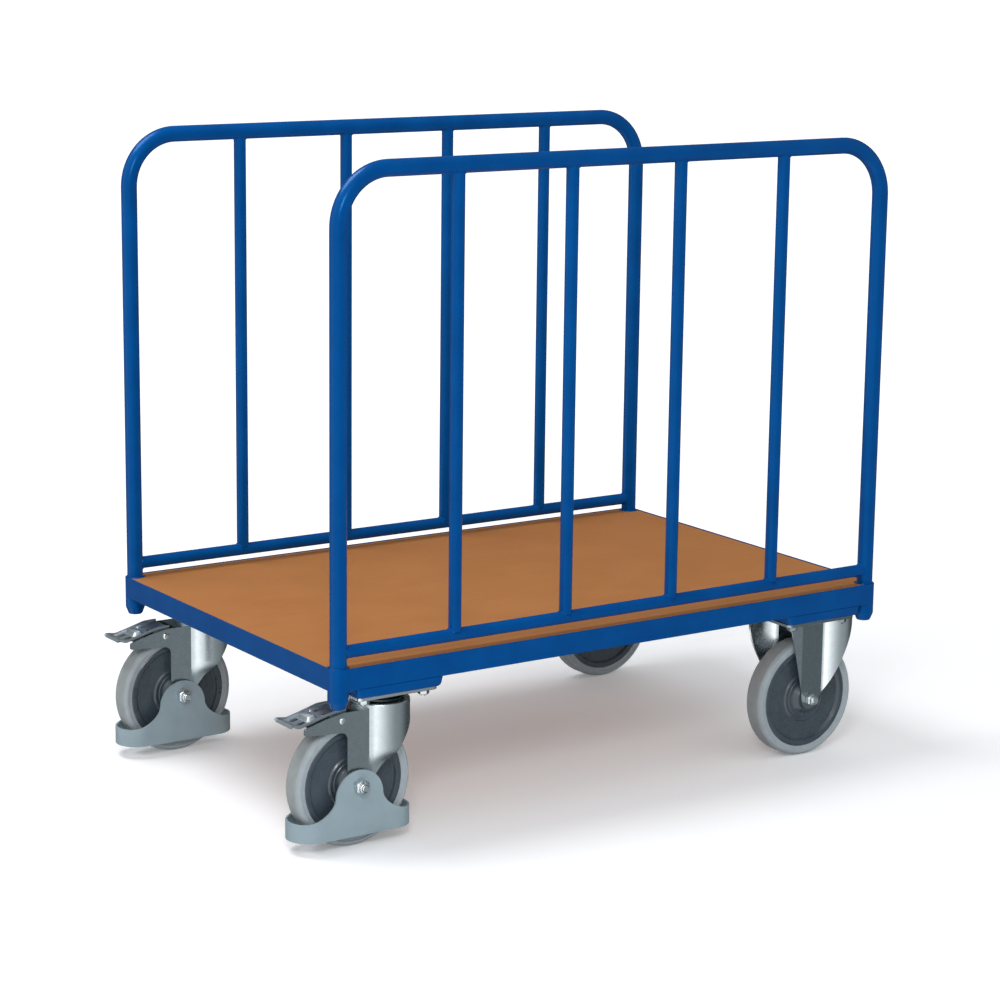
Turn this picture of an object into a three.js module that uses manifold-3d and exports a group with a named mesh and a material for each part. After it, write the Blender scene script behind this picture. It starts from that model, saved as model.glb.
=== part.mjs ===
// Side rail platform trolley, in millimetres with Z up.
// The deck is a board in a folded steel frame on two swivel castors with brakes and two fixed castors.
// A bent tube hoop with upright bars stands along each long side, in sleeves at the frame's corners.
// The origin is on the floor, in the middle of the trolley's outer box. The swivel end points to -X.
import * as THREE from "three";
import { mergeVertices } from "three/addons/utils/BufferGeometryUtils.js";
import Module from "manifold-3d";

const wasm = await Module();
wasm.setup();

// Gaps: seat lies between pieces that touch, running between pieces that turn in each other.
const seat = 0.3;
const running = 0.4;
const overrun = 5; // how far a cutting shape reaches past what it cuts

// Facets of round pieces.
const wheelFacets = 32;
const rimFacets = 20;
const crownFacets = 20;
const tubeFacets = 14;
const raceFacets = 16;
const barFacets = 12;
const boltFacets = 8;
const boreFacets = 6;
const hexFacets = 6;
const bendSteps = 6;
const arcSteps = 6;
const guardTopSteps = 10;
const roundingSteps = 2;

// Side hoops, their upright bars and the lower rail that ties them above the deck.
const postPitchX = 1020; // between the posts of one hoop
const postPitchY = 664; // between the two hoops
const hoopDiameter = 26;
const hoopWall = 1.5;
const hoopBend = 102; // radius of the tube's centreline in a corner
const hoopHeight = 730; // centreline of the top, above the deck
const barDiameter = 20;
const barWall = 1.5;
const barCount = 4;
const lowerRailLift = 22; // centreline of the lower rail, above the deck

// Deck frame, corner sleeves and board.
const frameHeight = 35;
const frameSheet = 2.5;
const frameWidth = 30; // of the folded channel
const ledgeWidth = 20; // turned in from the channel to carry the board
const sleeveDiameter = 32;
const sleeveLength = 63;
const sleeveFloor = 6;
const sleeveTaperHeight = 11; // the foot draws in over this height
const sleeveTaperDepth = 5; // and by this much all round
const boardThickness = 12;
const boardDrop = 0.5; // of the board's face below the frame's rim
const boardMargin = 1; // between the board and the frame's web or a sleeve
const boardChamfer = 1;
const crossMemberWidth = 40;
const crossMemberHeight = 16;
const crossMemberSheet = 2;

// Pressed pans that carry the castors under the frame.
const panDepth = 15;
const panLength = 154;
const panWidth = 124;
const panSheet = 3;
const panFlare = 4; // how far an end leans in on its way down
const panCorner = 8;

// Wheel: a rubber tyre on a plastic rim, which turns on a steel tube clamped in the fork.
const wheelDiameter = 200;
const tyreWidth = 39;
const tyreDepth = 16;
const tyreCrown = 22; // width of the tread's flat middle
const tyreShoulder = 4; // drop of the tread from its middle to its edge
const tyreSideStep = 1.5; // of the tyre's side below its shoulder
const rimWidth = 35;
const rimFlange = 8; // radial depth of the raised ring on the rim's face
const rimRecess = 4; // of the web behind that ring
const rimBossDiameter = 92;
const rimBossRise = 2.5;
const hubDiameter = 52;
const axleTubeDiameter = 20;
const axleDiameter = 12;
const axleHeadHeight = 7.5;
const axleTail = 1.5; // thread past the nut
const swivelAxleAcross = 21; // nut and head, across flats
const swivelNutHeight = 17; // a high lock nut outside the guard
const fixedAxleAcross = 18;
const fixedNutHeight = 14;

// Swivel fork: two flat legs that run into a round crown, with two arms over the wheel.
const swivelInset = 116; // from the frame's end to the swivel's axis
const swivelOffset = 56; // from the axle to the swivel's axis
const forkSheet = 3;
const forkGap = 52; // between the legs
const legHalf = 17; // from the axle to the leg's rear edge and round its foot
const footAngle = 320; // degrees, where the round foot runs out into the leading edge
const legTopLift = 15; // upper edge of the arms above the tyre
const crownRise = 7; // of the crown above the arms
const crownRadius = 46;
const crownEdge = 5; // rounding of the crown's upper edge
const crownFrontLift = 96; // lower end of the crown's front, above the axle
const crownFootLift = 26; // the flat legs start to swell into the crown here
const crownFullLift = 42;
const armReach = 91; // from the axle to the arms' tips
const armDepth = 30.5; // of an arm at its root
const armTipDepth = 10.5;
const armTipDrop = 16; // of an arm's upper edge, root to tip
const armShoulderReach = 24; // the upper edge starts to fall here
const armKneeReach = 54;
const armKneeDrop = 5.5;
const armCornerRadius = 12;
const roofReach = 6; // the roof between the arms ends this far behind the axle

// Swivel head between the crown and the mounting plate.
const headHeight = 14.4;
const raceDiameter = 76;
const raceGroove = 4; // height and depth of the dark groove between the upper and the lower race
const kingpinDiameter = 14;
const kingpinHeadDiameter = 28;
const kingpinHeadHeight = 6;

// Mounting plates and their bolts.
const plateLength = 140;
const plateWidth = 110;
const plateThickness = 5;
const plateCorner = 8;
const boltPitchX = 105;
const boltPitchY = 80;
const boltDiameter = 10;
const boltAcross = 16;
const boltHeadHeight = 6;
const boltNutHeight = 6.5;

// Fixed fork: each leg has a round wing along one edge and a narrow flange along the other.
const fixedInset = 112.5; // from the frame's end to the fixed axle
const fixedFootAngle = 335; // degrees, where the round foot runs out into the leading edge
const wingOffset = 56; // from the axle to the middle of the wing's round
const wingRadius = 43;
const wingWrap = 12; // the wing stops this far short of the wheel's middle plane
const wingTopReach = 95; // of the wing's outer edge, from the axle
const flangeReach = 19; // how far the flange stands off behind the leg
const flangeDepth = 5; // and how far it leans in
const flangeFoot = 18; // lower end of the flange above the axle
const legShoulder = 19; // from the axle to the fold of the flange

// Brake pedal, its pin and its shoe. Reaches run back from the axle, lifts up from the tyre's top.
const pinReach = 25.5;
const pinLift = 3;
const pinDiameter = 8;
const pinHeadDiameter = 11;
const pinHeadHeight = 1.5;
const pedalSheet = 2.5;
const pedalSideGap = 0.5; // between the pedal's cheeks and the arms
const pedalRootReach = 18;
const pedalRootLift = 17;
const pedalKneeReach = 48;
const pedalKneeLift = 13;
const pedalDipReach = 104;
const pedalDipLift = 0;
const pedalToeReach = 121;
const pedalToeLift = 13;
const pedalToeWidth = 62;
const pedalToeGap = 5; // between the arms' tips and the wide toe
const pedalRim = 6; // height of the cheeks' upper edges above the tray
const pedalRimReach = 82; // the rims run out here
const pedalEarRadius = 9;
const padReach = 70; // the raised pad on the tray starts here
const padEndReach = 98;
const padWidth = 30;
const padRise = 3;
const slotReach = 84;
const slotLength = 14;
const slotWidth = 6;
const pedalTravel = 12; // degrees that the toe goes down to brake
const shoeFrontReach = 62;
const shoeRearReach = 38;
const shoeWidth = 34;
const shoeGap = 0.6; // from the shoe to the tyre when the pedal is down

// Foot guard: a ring round the wheel's foot that hangs on the axle by two bell-shaped cheeks.
const guardSheet = 3;
const guardWidth = 72;
const guardReach = 103; // from the axle to each end
const guardBottom = 21.5; // above the floor
const guardRingHeight = 29;
const guardRise = 24.5; // top of the cheek above the axle
const guardBellRadius = 41;
const guardFlareReach = 95; // where a cheek runs out into the ring
const guardFlareShares = [0.04, 0.42, 0.39, 0.95]; // pull of the flare's curve: across, down, across, down
const guardBossDiameter = 34;

const materials = {
  bluePaint: new THREE.MeshStandardMaterial({ color: "#004b91", roughness: 0.35, metalness: 0 }),
  board: new THREE.MeshStandardMaterial({ color: "#b07b54", roughness: 0.6, metalness: 0 }),
  zinc: new THREE.MeshStandardMaterial({ color: "#9aa2a3", roughness: 0.4, metalness: 1 }),
  rubber: new THREE.MeshStandardMaterial({ color: "#8a8f92", roughness: 0.75, metalness: 0 }),
  rimPlastic: new THREE.MeshStandardMaterial({ color: "#3c474e", roughness: 0.45, metalness: 0 }),
  guardPlastic: new THREE.MeshStandardMaterial({ color: "#8fa3ab", roughness: 0.5, metalness: 0 }),
};
for (const material of Object.values(materials)) material.flatShading = true;

// Heights above the floor, from the wheels up.
const wheelRadius = wheelDiameter / 2;
const axleHeight = wheelRadius;
const armTop = wheelRadius + legTopLift; // above the axle, as the next four
const crownTop = armTop + crownRise;
const plateBottom = crownTop + headHeight;
const plateTop = plateBottom + plateThickness;
const panBottom = plateTop + seat;
const frameBottom = axleHeight + panBottom + panDepth + seat;
const deckTop = frameBottom + frameHeight;
const hoopTop = deckTop + hoopHeight;
const ledgeTop = deckTop - boardDrop - boardThickness - seat;

// Places in plan.
const frameLength = postPitchX + sleeveDiameter;
const frameDepth = postPitchY + sleeveDiameter;
const swivelAxisX = swivelInset - frameLength / 2;
const fixedAxleX = frameLength / 2 - fixedInset;
const castorY = (frameDepth - panWidth) / 2;
const ledgeTip = frameWidth + ledgeWidth;

// Sizes that several castor pieces share.
const legInner = forkGap / 2;
const legOuter = legInner + forkSheet;
const axleTubeLength = forkGap - 2 * seat;
const hubLength = axleTubeLength - 2 * running;
const guardOuter = guardWidth / 2;

const point = (x, y) => new THREE.Vector2(x, y);
const radians = THREE.MathUtils.degToRad;

// Points along an arc, with angles in degrees.
function arc(centre, radius, from, to, steps) {
  const points = [];
  for (let i = 0; i <= steps; i++) {
    const angle = radians(from + ((to - from) * i) / steps);
    points.push(point(centre.x + radius * Math.cos(angle), centre.y + radius * Math.sin(angle)));
  }
  return points;
}

// A regular polygon whose corners lie on the circle.
function round(radius, facets, centre = point(0, 0)) {
  return arc(centre, radius, 0, 360, facets).slice(0, facets);
}

// A regular polygon whose sides touch the circle from outside, for bores and hexagons.
function roundOver(radius, facets, centre = point(0, 0)) {
  return round(radius / Math.cos(Math.PI / facets), facets, centre);
}

function rectangle(left, right, low, high) {
  return [point(left, low), point(right, low), point(right, high), point(left, high)];
}

// The outline of a bent sheet: a line, and the same line moved to its left by the thickness.
function bentSheet(line, thickness) {
  const along = (i) => line[i + 1].clone().sub(line[i]).normalize();
  const moved = line.map((corner, i) => {
    const before = along(Math.max(i - 1, 0));
    const after = along(Math.min(i, line.length - 2));
    const normal = point(-before.y, before.x);
    const bisector = normal.clone().add(point(-after.y, after.x)).normalize();
    return corner.clone().addScaledVector(bisector, thickness / bisector.dot(normal));
  });
  return [...line, ...moved.reverse()];
}

function shapeOf(outline, ...holes) {
  const shape = new THREE.Shape(outline);
  shape.holes = holes.map((hole) => new THREE.Path(hole));
  return shape;
}

const extruded = (shape, depth) => new THREE.ExtrudeGeometry(shape, { depth, bevelEnabled: false });

// Outlines seen from the end (Y and Z), from the side (X and Z) and from above (X and Y).
function alongX(shape, from, to) {
  const turn = new THREE.Matrix4();
  turn.makeBasis(new THREE.Vector3(0, 1, 0), new THREE.Vector3(0, 0, 1), new THREE.Vector3(1, 0, 0));
  return extruded(shape, to - from).applyMatrix4(turn).translate(from, 0, 0);
}
function alongY(shape, from, to) {
  return extruded(shape, to - from).rotateX(Math.PI / 2).translate(0, to, 0);
}
function alongZ(shape, from, to) {
  return extruded(shape, to - from).translate(0, 0, from);
}

// A profile of radius and height turned round the upright axis, or round a wheel's axle.
function turnedZ(profile, facets) {
  return new THREE.LatheGeometry(profile, facets).rotateX(Math.PI / 2);
}
function turnedY(profile, facets) {
  return new THREE.LatheGeometry(profile, facets).rotateY(Math.PI / facets);
}

// A closed geometry as a solid that can be joined and cut, and back again.
function solid(geometry) {
  const loose = geometry.index ? geometry.toNonIndexed() : geometry;
  const bare = new THREE.BufferGeometry();
  bare.setAttribute("position", loose.getAttribute("position"));
  const merged = mergeVertices(bare);
  const vertProperties = merged.getAttribute("position").array;
  const triVerts = new Uint32Array(merged.index.array);
  return new wasm.Manifold(new wasm.Mesh({ numProp: 3, vertProperties, triVerts }));
}
function geometryOf(made) {
  const mesh = made.getMesh();
  const geometry = new THREE.BufferGeometry();
  geometry.setAttribute("position", new THREE.BufferAttribute(mesh.vertProperties, 3));
  geometry.setIndex(new THREE.BufferAttribute(mesh.triVerts, 1));
  return geometry;
}

// Straight round bars as cutters, a little over the named radius.
const boreY = (radius, half, x = 0, z = 0) =>
  solid(alongY(shapeOf(roundOver(radius, barFacets, point(x, z))), -half, half));
const boreZ = (radius, from, to, x = 0, y = 0) =>
  solid(alongZ(shapeOf(roundOver(radius, barFacets, point(x, y))), from, to));

// A curve through given places, with one step of its parameter from each place to the next.
class Route extends THREE.Curve {
  constructor(places) {
    super();
    this.places = places;
  }
  getPoint(share) {
    const along = share * (this.places.length - 1);
    const i = Math.min(Math.floor(along), this.places.length - 2);
    return this.places[i].clone().lerp(this.places[i + 1], along - i);
  }
  getUtoTmapping(share) {
    return share;
  }
}

function hoopGeometry() {
  const side = postPitchX / 2;
  const foot = deckTop - sleeveLength + sleeveFloor + seat;
  const left = arc(point(hoopBend - side, hoopTop - hoopBend), hoopBend, 180, 90, bendSteps);
  const right = arc(point(side - hoopBend, hoopTop - hoopBend), hoopBend, 90, 0, bendSteps);
  const line = [point(-side, foot), ...left, ...right, point(side, foot)];
  const route = new Route(line.map((place) => new THREE.Vector3(place.x, 0, place.y)));
  const tube = shapeOf(
    round(hoopDiameter / 2, tubeFacets),
    round(hoopDiameter / 2 - hoopWall, boreFacets),
  );
  return new THREE.ExtrudeGeometry(tube, { steps: line.length - 1, extrudePath: route });
}

const barSection = shapeOf(round(barDiameter / 2, barFacets), round(barDiameter / 2 - barWall, boreFacets));

// An upright bar, with both ends cut to the tubes that it meets.
function barGeometry() {
  const reach = barDiameter / 2 + overrun;
  const top = solid(alongX(shapeOf(roundOver(hoopDiameter / 2 + seat, tubeFacets)), -reach, reach));
  const low = solid(alongX(shapeOf(roundOver(barDiameter / 2 + seat, tubeFacets)), -reach, reach));
  const length = hoopHeight - lowerRailLift;
  const tube = solid(alongZ(barSection, 0, length));
  const cut = geometryOf(top).translate(0, 0, length);
  return geometryOf(tube.subtract(solid(cut)).subtract(low));
}

function lowerRailGeometry() {
  const side = postPitchX / 2;
  let rail = solid(alongX(barSection, -side, side));
  for (const x of [-side, side])
    rail = rail.subtract(boreZ(hoopDiameter / 2 + seat, -hoopDiameter, hoopDiameter, x));
  return geometryOf(rail);
}

// The folded channel of the frame: web, bottom, inner web and ledge, drawn from its outer top edge.
function frameSection() {
  const rise = ledgeTop - frameSheet - deckTop;
  return bentSheet(
    [
      point(-ledgeTip, rise),
      point(-frameWidth, rise),
      point(-frameWidth, -frameHeight),
      point(0, -frameHeight),
      point(0, 0),
    ],
    frameSheet,
  );
}

// One member of the frame, mitred at both ends and cut round the sleeves.
// It is drawn with its outer face on the plane Y = 0 and its inside towards -Y.
function frameMember(length) {
  const end = length / 2;
  const sleeve = sleeveDiameter / 2;
  const square = end - sleeve - seat;
  const deep = ledgeTip + overrun;
  const mitre = shapeOf([
    point(-square, overrun),
    point(square, overrun),
    point(square, -sleeve),
    point(end - deep - seat, -deep),
    point(deep + seat - end, -deep),
    point(-square, -sleeve),
  ]);
  const low = -frameHeight - overrun;
  const channel = solid(alongX(shapeOf(frameSection()), -end, end));
  let member = channel.intersect(solid(alongZ(mitre, low, overrun)));
  for (const x of [sleeve - end, end - sleeve])
    member = member.subtract(boreZ(sleeve + seat, low, overrun, x, -sleeve));
  return geometryOf(member);
}

function sleeveGeometry() {
  const outer = sleeveDiameter / 2;
  const inner = (hoopDiameter / 2 + seat) / Math.cos(Math.PI / barFacets);
  const taper = arc(point(0, 0), sleeveTaperDepth, -90, 0, roundingSteps).map((p) =>
    point(
      outer - sleeveTaperDepth + p.x,
      (p.y * sleeveTaperHeight) / sleeveTaperDepth + sleeveTaperHeight - sleeveLength,
    ),
  );
  return turnedZ(
    [
      point(0, -sleeveLength),
      ...taper,
      point(outer, 0),
      point(inner, 0),
      point(inner, sleeveFloor - sleeveLength),
      point(0, sleeveFloor - sleeveLength),
    ],
    barFacets,
  );
}

// The board, with its corners cut round the sleeves and a small chamfer along its upper edge.
function boardGeometry() {
  const length = frameLength - 2 * (frameSheet + boardMargin);
  const depth = frameDepth - 2 * (frameSheet + boardMargin);
  const halfX = length / 2 - boardChamfer;
  const halfY = depth / 2 - boardChamfer;
  const shape = shapeOf(rectangle(-halfX, halfX, -halfY, halfY));
  const bevel = {
    depth: boardThickness - boardChamfer,
    bevelEnabled: true,
    bevelSegments: 1,
    bevelSize: boardChamfer,
    bevelThickness: boardChamfer,
  };
  const plank = solid(new THREE.ExtrudeGeometry(shape, bevel).translate(0, 0, -boardThickness));
  const below = rectangle(-length, length, -depth, depth);
  let board = plank.subtract(solid(alongZ(shapeOf(below), -frameHeight, -boardThickness)));
  const corner = shapeOf(rectangle(0, sleeveDiameter, 0, sleeveDiameter));
  for (const [turn, x, y] of [[0, 1, 1], [1, -1, 1], [2, -1, -1], [3, 1, -1]]) {
    const notch = alongZ(corner, -frameHeight, frameHeight).rotateZ((turn * Math.PI) / 2);
    const postX = (x * postPitchX) / 2;
    const postY = (y * postPitchY) / 2;
    board = board
      .subtract(solid(notch.translate(postX, postY, 0)))
      .subtract(boreZ(sleeveDiameter / 2 + boardMargin, -frameHeight, frameHeight, postX, postY));
  }
  return geometryOf(board);
}

// A folded bearer under the board, between the ledges of the long sides.
function crossMemberGeometry() {
  const half = crossMemberWidth / 2;
  const section = bentSheet(
    [
      point(half, -crossMemberHeight),
      point(half, 0),
      point(-half, 0),
      point(-half, -crossMemberHeight),
    ],
    crossMemberSheet,
  );
  const reach = frameDepth / 2 - ledgeTip - seat;
  return alongY(shapeOf(section), -reach, reach);
}

// A tray open at the top, with leaning ends, round corners and bolt holes in its floor.
function panGeometry() {
  const half = panLength / 2;
  const side = (inset, low, high) => {
    const lean = panFlare / panDepth;
    return [
      point(inset - half, high),
      point(inset - half + lean * (high - low), low),
      point(half - inset - lean * (high - low), low),
      point(half - inset, high),
    ];
  };
  const tray = (inset, high) => {
    const reach = panWidth / 2 - inset;
    const upright = alongZ(shapeOf(cornered(half - inset, reach, panCorner - inset)), inset, high);
    return solid(alongY(shapeOf(side(inset, inset, high)), -reach, reach)).intersect(solid(upright));
  };
  let pan = tray(0, panDepth).subtract(tray(panSheet, panDepth + overrun));
  for (const [x, y] of boltPlaces()) {
    const hole = shapeOf(roundOver(boltDiameter / 2 + seat, hexFacets, point(x, y)));
    pan = pan.subtract(solid(alongZ(hole, -overrun, panDepth)));
  }
  return geometryOf(pan);
}

// A rectangle with round corners, from half its length and depth.
function cornered(halfX, halfY, radius) {
  const x = halfX - radius;
  const y = halfY - radius;
  return [
    ...arc(point(x, y), radius, 0, 90, roundingSteps),
    ...arc(point(-x, y), radius, 90, 180, roundingSteps),
    ...arc(point(-x, -y), radius, 180, 270, roundingSteps),
    ...arc(point(x, -y), radius, 270, 360, roundingSteps),
  ];
}

function boltPlaces() {
  const x = boltPitchX / 2;
  const y = boltPitchY / 2;
  return [[-x, -y], [x, -y], [x, y], [-x, y]];
}

// A mounting plate with its four bolts: heads in the pan, nuts under the plate.
function boltedPlate() {
  const corners = cornered(plateLength / 2, plateWidth / 2, plateCorner);
  let plate = solid(alongZ(shapeOf(corners), plateBottom, plateTop));
  const headBottom = panBottom + panSheet + seat;
  const hexagon = (from, to, place) =>
    solid(alongZ(shapeOf(roundOver(boltAcross / 2, hexFacets, place)), from, to));
  for (const [boltX, boltY] of boltPlaces()) {
    const place = point(boltX, boltY);
    const shank = round(boltDiameter / 2, hexFacets, place);
    plate = plate
      .add(solid(alongZ(shapeOf(shank), plateBottom, headBottom + boltHeadHeight / 2)))
      .add(hexagon(headBottom, headBottom + boltHeadHeight, place))
      .add(hexagon(plateBottom - boltNutHeight, plateBottom + plateThickness / 2, place));
  }
  return plate;
}

function swivelPlateGeometry() {
  const hole = boreZ(kingpinDiameter / 2 + seat, plateBottom - overrun, plateTop + overrun);
  return geometryOf(boltedPlate().subtract(hole));
}

// The upper and lower race with the groove between them, round the kingpin.
function raceGeometry() {
  const inner = kingpinDiameter / 2 + seat;
  const outer = raceDiameter / 2;
  const low = crownTop + running;
  const high = plateBottom - seat;
  const lip = (high - low - raceGroove) / 2;
  return turnedZ(
    [
      point(inner, low),
      point(outer - lip / 2, low),
      point(outer, low + lip),
      point(outer - raceGroove, low + lip),
      point(outer - raceGroove, high - lip),
      point(outer, high - lip),
      point(outer, high),
      point(inner, high),
      point(inner, low),
    ],
    raceFacets,
  );
}

// The kingpin, riveted over under the crown's roof.
function kingpinGeometry() {
  const roof = crownTop - forkSheet - running;
  return turnedZ(
    [
      point(0, roof - kingpinHeadHeight),
      point(kingpinHeadDiameter / 2 - kingpinHeadHeight / 2, roof - kingpinHeadHeight),
      point(kingpinHeadDiameter / 2, roof - kingpinHeadHeight / 2),
      point(kingpinHeadDiameter / 2, roof),
      point(kingpinDiameter / 2, roof),
      point(kingpinDiameter / 2, plateTop),
      point(0, plateTop),
    ],
    barFacets,
  );
}

// Side view of the swivel fork: foot, leading edge, crown, arm and rear edge, with the axle at zero.
function swivelForkOutline() {
  const front = swivelOffset + crownRadius;
  const armLow = armTop - armDepth;
  const tipTop = armTop - armTipDrop;
  const corner = point(-legHalf - armCornerRadius, armLow - armCornerRadius);
  return [
    ...arc(point(0, 0), legHalf, 180, footAngle, arcSteps),
    point(front, crownFrontLift),
    point(front, crownTop + overrun),
    point(swivelOffset - crownRadius - overrun, crownTop + overrun),
    point(swivelOffset - crownRadius - overrun, armTop),
    point(-armShoulderReach, armTop),
    point(-armKneeReach, armTop - armKneeDrop),
    point(-armReach, tipTop),
    point(-armReach, tipTop - armTipDepth),
    ...arc(corner, armCornerRadius, 90, 0, roundingSteps),
  ];
}

// The crown as a turned body: as narrow as the legs at its foot, and rounded along its upper edge.
function crown(radius, narrow, top) {
  const edge = arc(point(radius - crownEdge, top - crownEdge), crownEdge, 0, 90, roundingSteps);
  const low = -legHalf - overrun;
  const foot = [
    point(0, low),
    point(narrow, low),
    point(narrow, crownFootLift),
    point(radius, crownFullLift),
  ];
  const body = turnedZ([...foot, ...edge, point(0, top)], crownFacets);
  return solid(body.translate(swivelOffset, 0, 0));
}

function forkBlock(half, from, to, top) {
  return solid(alongZ(shapeOf(rectangle(from, to, -half, half)), -legHalf - overrun, top));
}

function swivelForkGeometry() {
  const back = -armReach - overrun;
  const plan = forkBlock(legOuter, back, swivelOffset, armTop).add(crown(crownRadius, legOuter, crownTop));
  const side = solid(alongY(shapeOf(swivelForkOutline()), -crownRadius - overrun, crownRadius + overrun));
  const hollow = forkBlock(legInner, back, swivelOffset, armTop - forkSheet)
    .add(crown(crownRadius - forkSheet, legInner, crownTop - forkSheet))
    .add(forkBlock(legInner, back, -roofReach, armTop + overrun));
  const reach = crownRadius + overrun;
  const fork = side
    .intersect(plan)
    .subtract(hollow)
    .subtract(boreY(axleDiameter / 2 + seat, reach))
    .subtract(boreY(pinDiameter / 2 + seat, reach, -pinReach, wheelRadius + pinLift))
    .subtract(boreZ(kingpinDiameter / 2 + running, armTop, crownTop + overrun, swivelOffset));
  return geometryOf(fork);
}

// One leg of the fixed fork from above: flange, flat leg and round wing.
function fixedLegPlan() {
  const crease = wingOffset - Math.sqrt(wingRadius ** 2 - legOuter ** 2);
  const degrees = THREE.MathUtils.radToDeg;
  const from = -180 + degrees(Math.asin(legOuter / wingRadius));
  const to = -degrees(Math.asin(wingWrap / wingRadius));
  return bentSheet(
    [
      point(-legShoulder - flangeReach, flangeDepth - legOuter),
      point(-legShoulder, -legOuter),
      point(crease, -legOuter),
      ...arc(point(wingOffset, 0), wingRadius, from, to, arcSteps).slice(1),
    ],
    forkSheet,
  );
}

function fixedLeg() {
  const top = plateBottom + plateThickness / 2;
  const side = shapeOf([
    ...arc(point(0, 0), legHalf, 180, fixedFootAngle, arcSteps),
    point(wingTopReach, plateBottom - forkSheet),
    point(plateLength / 2, plateBottom),
    point(plateLength / 2, top),
    point(-legShoulder - forkSheet, top),
    point(-legShoulder - flangeReach - forkSheet, plateBottom),
    point(-legShoulder, flangeFoot),
  ]);
  const sheet = solid(alongZ(shapeOf(fixedLegPlan()), -legHalf - overrun, top));
  return sheet.intersect(solid(alongY(side, -wingRadius - overrun, wingRadius)));
}

// The fixed fork is its plate and two like legs, one turned half round.
function fixedForkGeometry() {
  const leg = fixedLeg();
  const other = solid(geometryOf(leg).rotateZ(Math.PI));
  const reach = legOuter + overrun;
  return geometryOf(boltedPlate().add(leg).add(other).subtract(boreY(axleDiameter / 2 + seat, reach)));
}

// The axle bolt, with its lock nut fused on at the near side. Two corners of each hexagon point up and down.
function axleBoltGeometry(across, nutHeight, grip) {
  const end = legOuter + grip + seat;
  const centre = point(0, 0);
  const corners = roundOver(across / 2, hexFacets).map((p) => p.rotateAround(centre, Math.PI / hexFacets));
  const hexagon = shapeOf(corners);
  const shank = shapeOf(round(axleDiameter / 2, boltFacets));
  return geometryOf(
    solid(alongY(shank, -end - nutHeight - axleTail, end + axleHeadHeight / 2))
      .add(solid(alongY(hexagon, -end - nutHeight, -end)))
      .add(solid(alongY(hexagon, end, end + axleHeadHeight))),
  );
}

function axleTubeGeometry() {
  const inner = axleDiameter / 2 + seat;
  const half = axleTubeLength / 2;
  const ring = shapeOf(round(axleTubeDiameter / 2, barFacets), roundOver(inner, boltFacets));
  return alongY(ring, -half, half);
}

// Mirrors half a wheel profile, given from its bore outwards, and closes it.
function bothSides(half) {
  const mirrored = half.map((p) => point(p.x, -p.y)).reverse();
  return [...mirrored, ...half, mirrored[0].clone()];
}

function tyreGeometry() {
  const top = wheelRadius / Math.cos(Math.PI / wheelFacets);
  const bore = wheelRadius - tyreDepth;
  const edge = top - tyreShoulder;
  const half = [
    point(bore, rimWidth / 2),
    point(bore + tyreShoulder, tyreWidth / 2 - tyreSideStep),
    point(edge, tyreWidth / 2),
    point(top, tyreCrown / 2),
  ];
  return turnedY(bothSides(half).reverse(), wheelFacets);
}

function rimGeometry() {
  const outer = (wheelRadius - tyreDepth) * Math.cos(Math.PI / wheelFacets) - seat;
  const web = rimWidth / 2 - rimRecess;
  const boss = web + rimBossRise;
  const bore = (axleTubeDiameter / 2 + running) / Math.cos(Math.PI / rimFacets);
  const half = [
    point(bore, hubLength / 2),
    point(hubDiameter / 2, hubLength / 2),
    point(hubDiameter / 2, boss),
    point(rimBossDiameter / 2, boss),
    point(outer - rimFlange, web),
    point(outer - rimFlange, rimWidth / 2),
    point(outer, rimWidth / 2),
  ];
  return turnedY(bothSides(half).reverse(), rimFacets);
}

// A point of the pedal's side view, from its reach behind the axle and its lift above the tyre.
const pedalPoint = (reach, lift) => point(-reach, wheelRadius + lift);

// Lift of the tray's upper face at a reach between its root and its dip.
function trayLift(reach) {
  const line = [
    [pedalRootReach, pedalRootLift],
    [pedalKneeReach, pedalKneeLift],
    [pedalDipReach, pedalDipLift],
  ];
  const i = reach < pedalKneeReach ? 0 : 1;
  const share = (reach - line[i][0]) / (line[i + 1][0] - line[i][0]);
  return line[i][1] + share * (line[i + 1][1] - line[i][1]);
}

const trayPoint = (reach, rise = 0) => pedalPoint(reach, trayLift(reach) + rise);

// A cheek of the pedal: the rim beside the tray and the ear round the pin.
function pedalCheek(from, to) {
  const rim = shapeOf([
    trayPoint(pedalRootReach, pedalRim),
    trayPoint(pedalKneeReach, pedalRim),
    trayPoint(pedalRimReach, -pedalSheet / 2),
    pedalPoint(pinReach + pedalEarRadius, pinLift),
    pedalPoint(pinReach - pedalEarRadius, pinLift),
  ]);
  const ear = shapeOf(round(pedalEarRadius, barFacets, pedalPoint(pinReach, pinLift)));
  return solid(alongY(rim, from, to)).add(solid(alongY(ear, from, to)));
}

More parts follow.
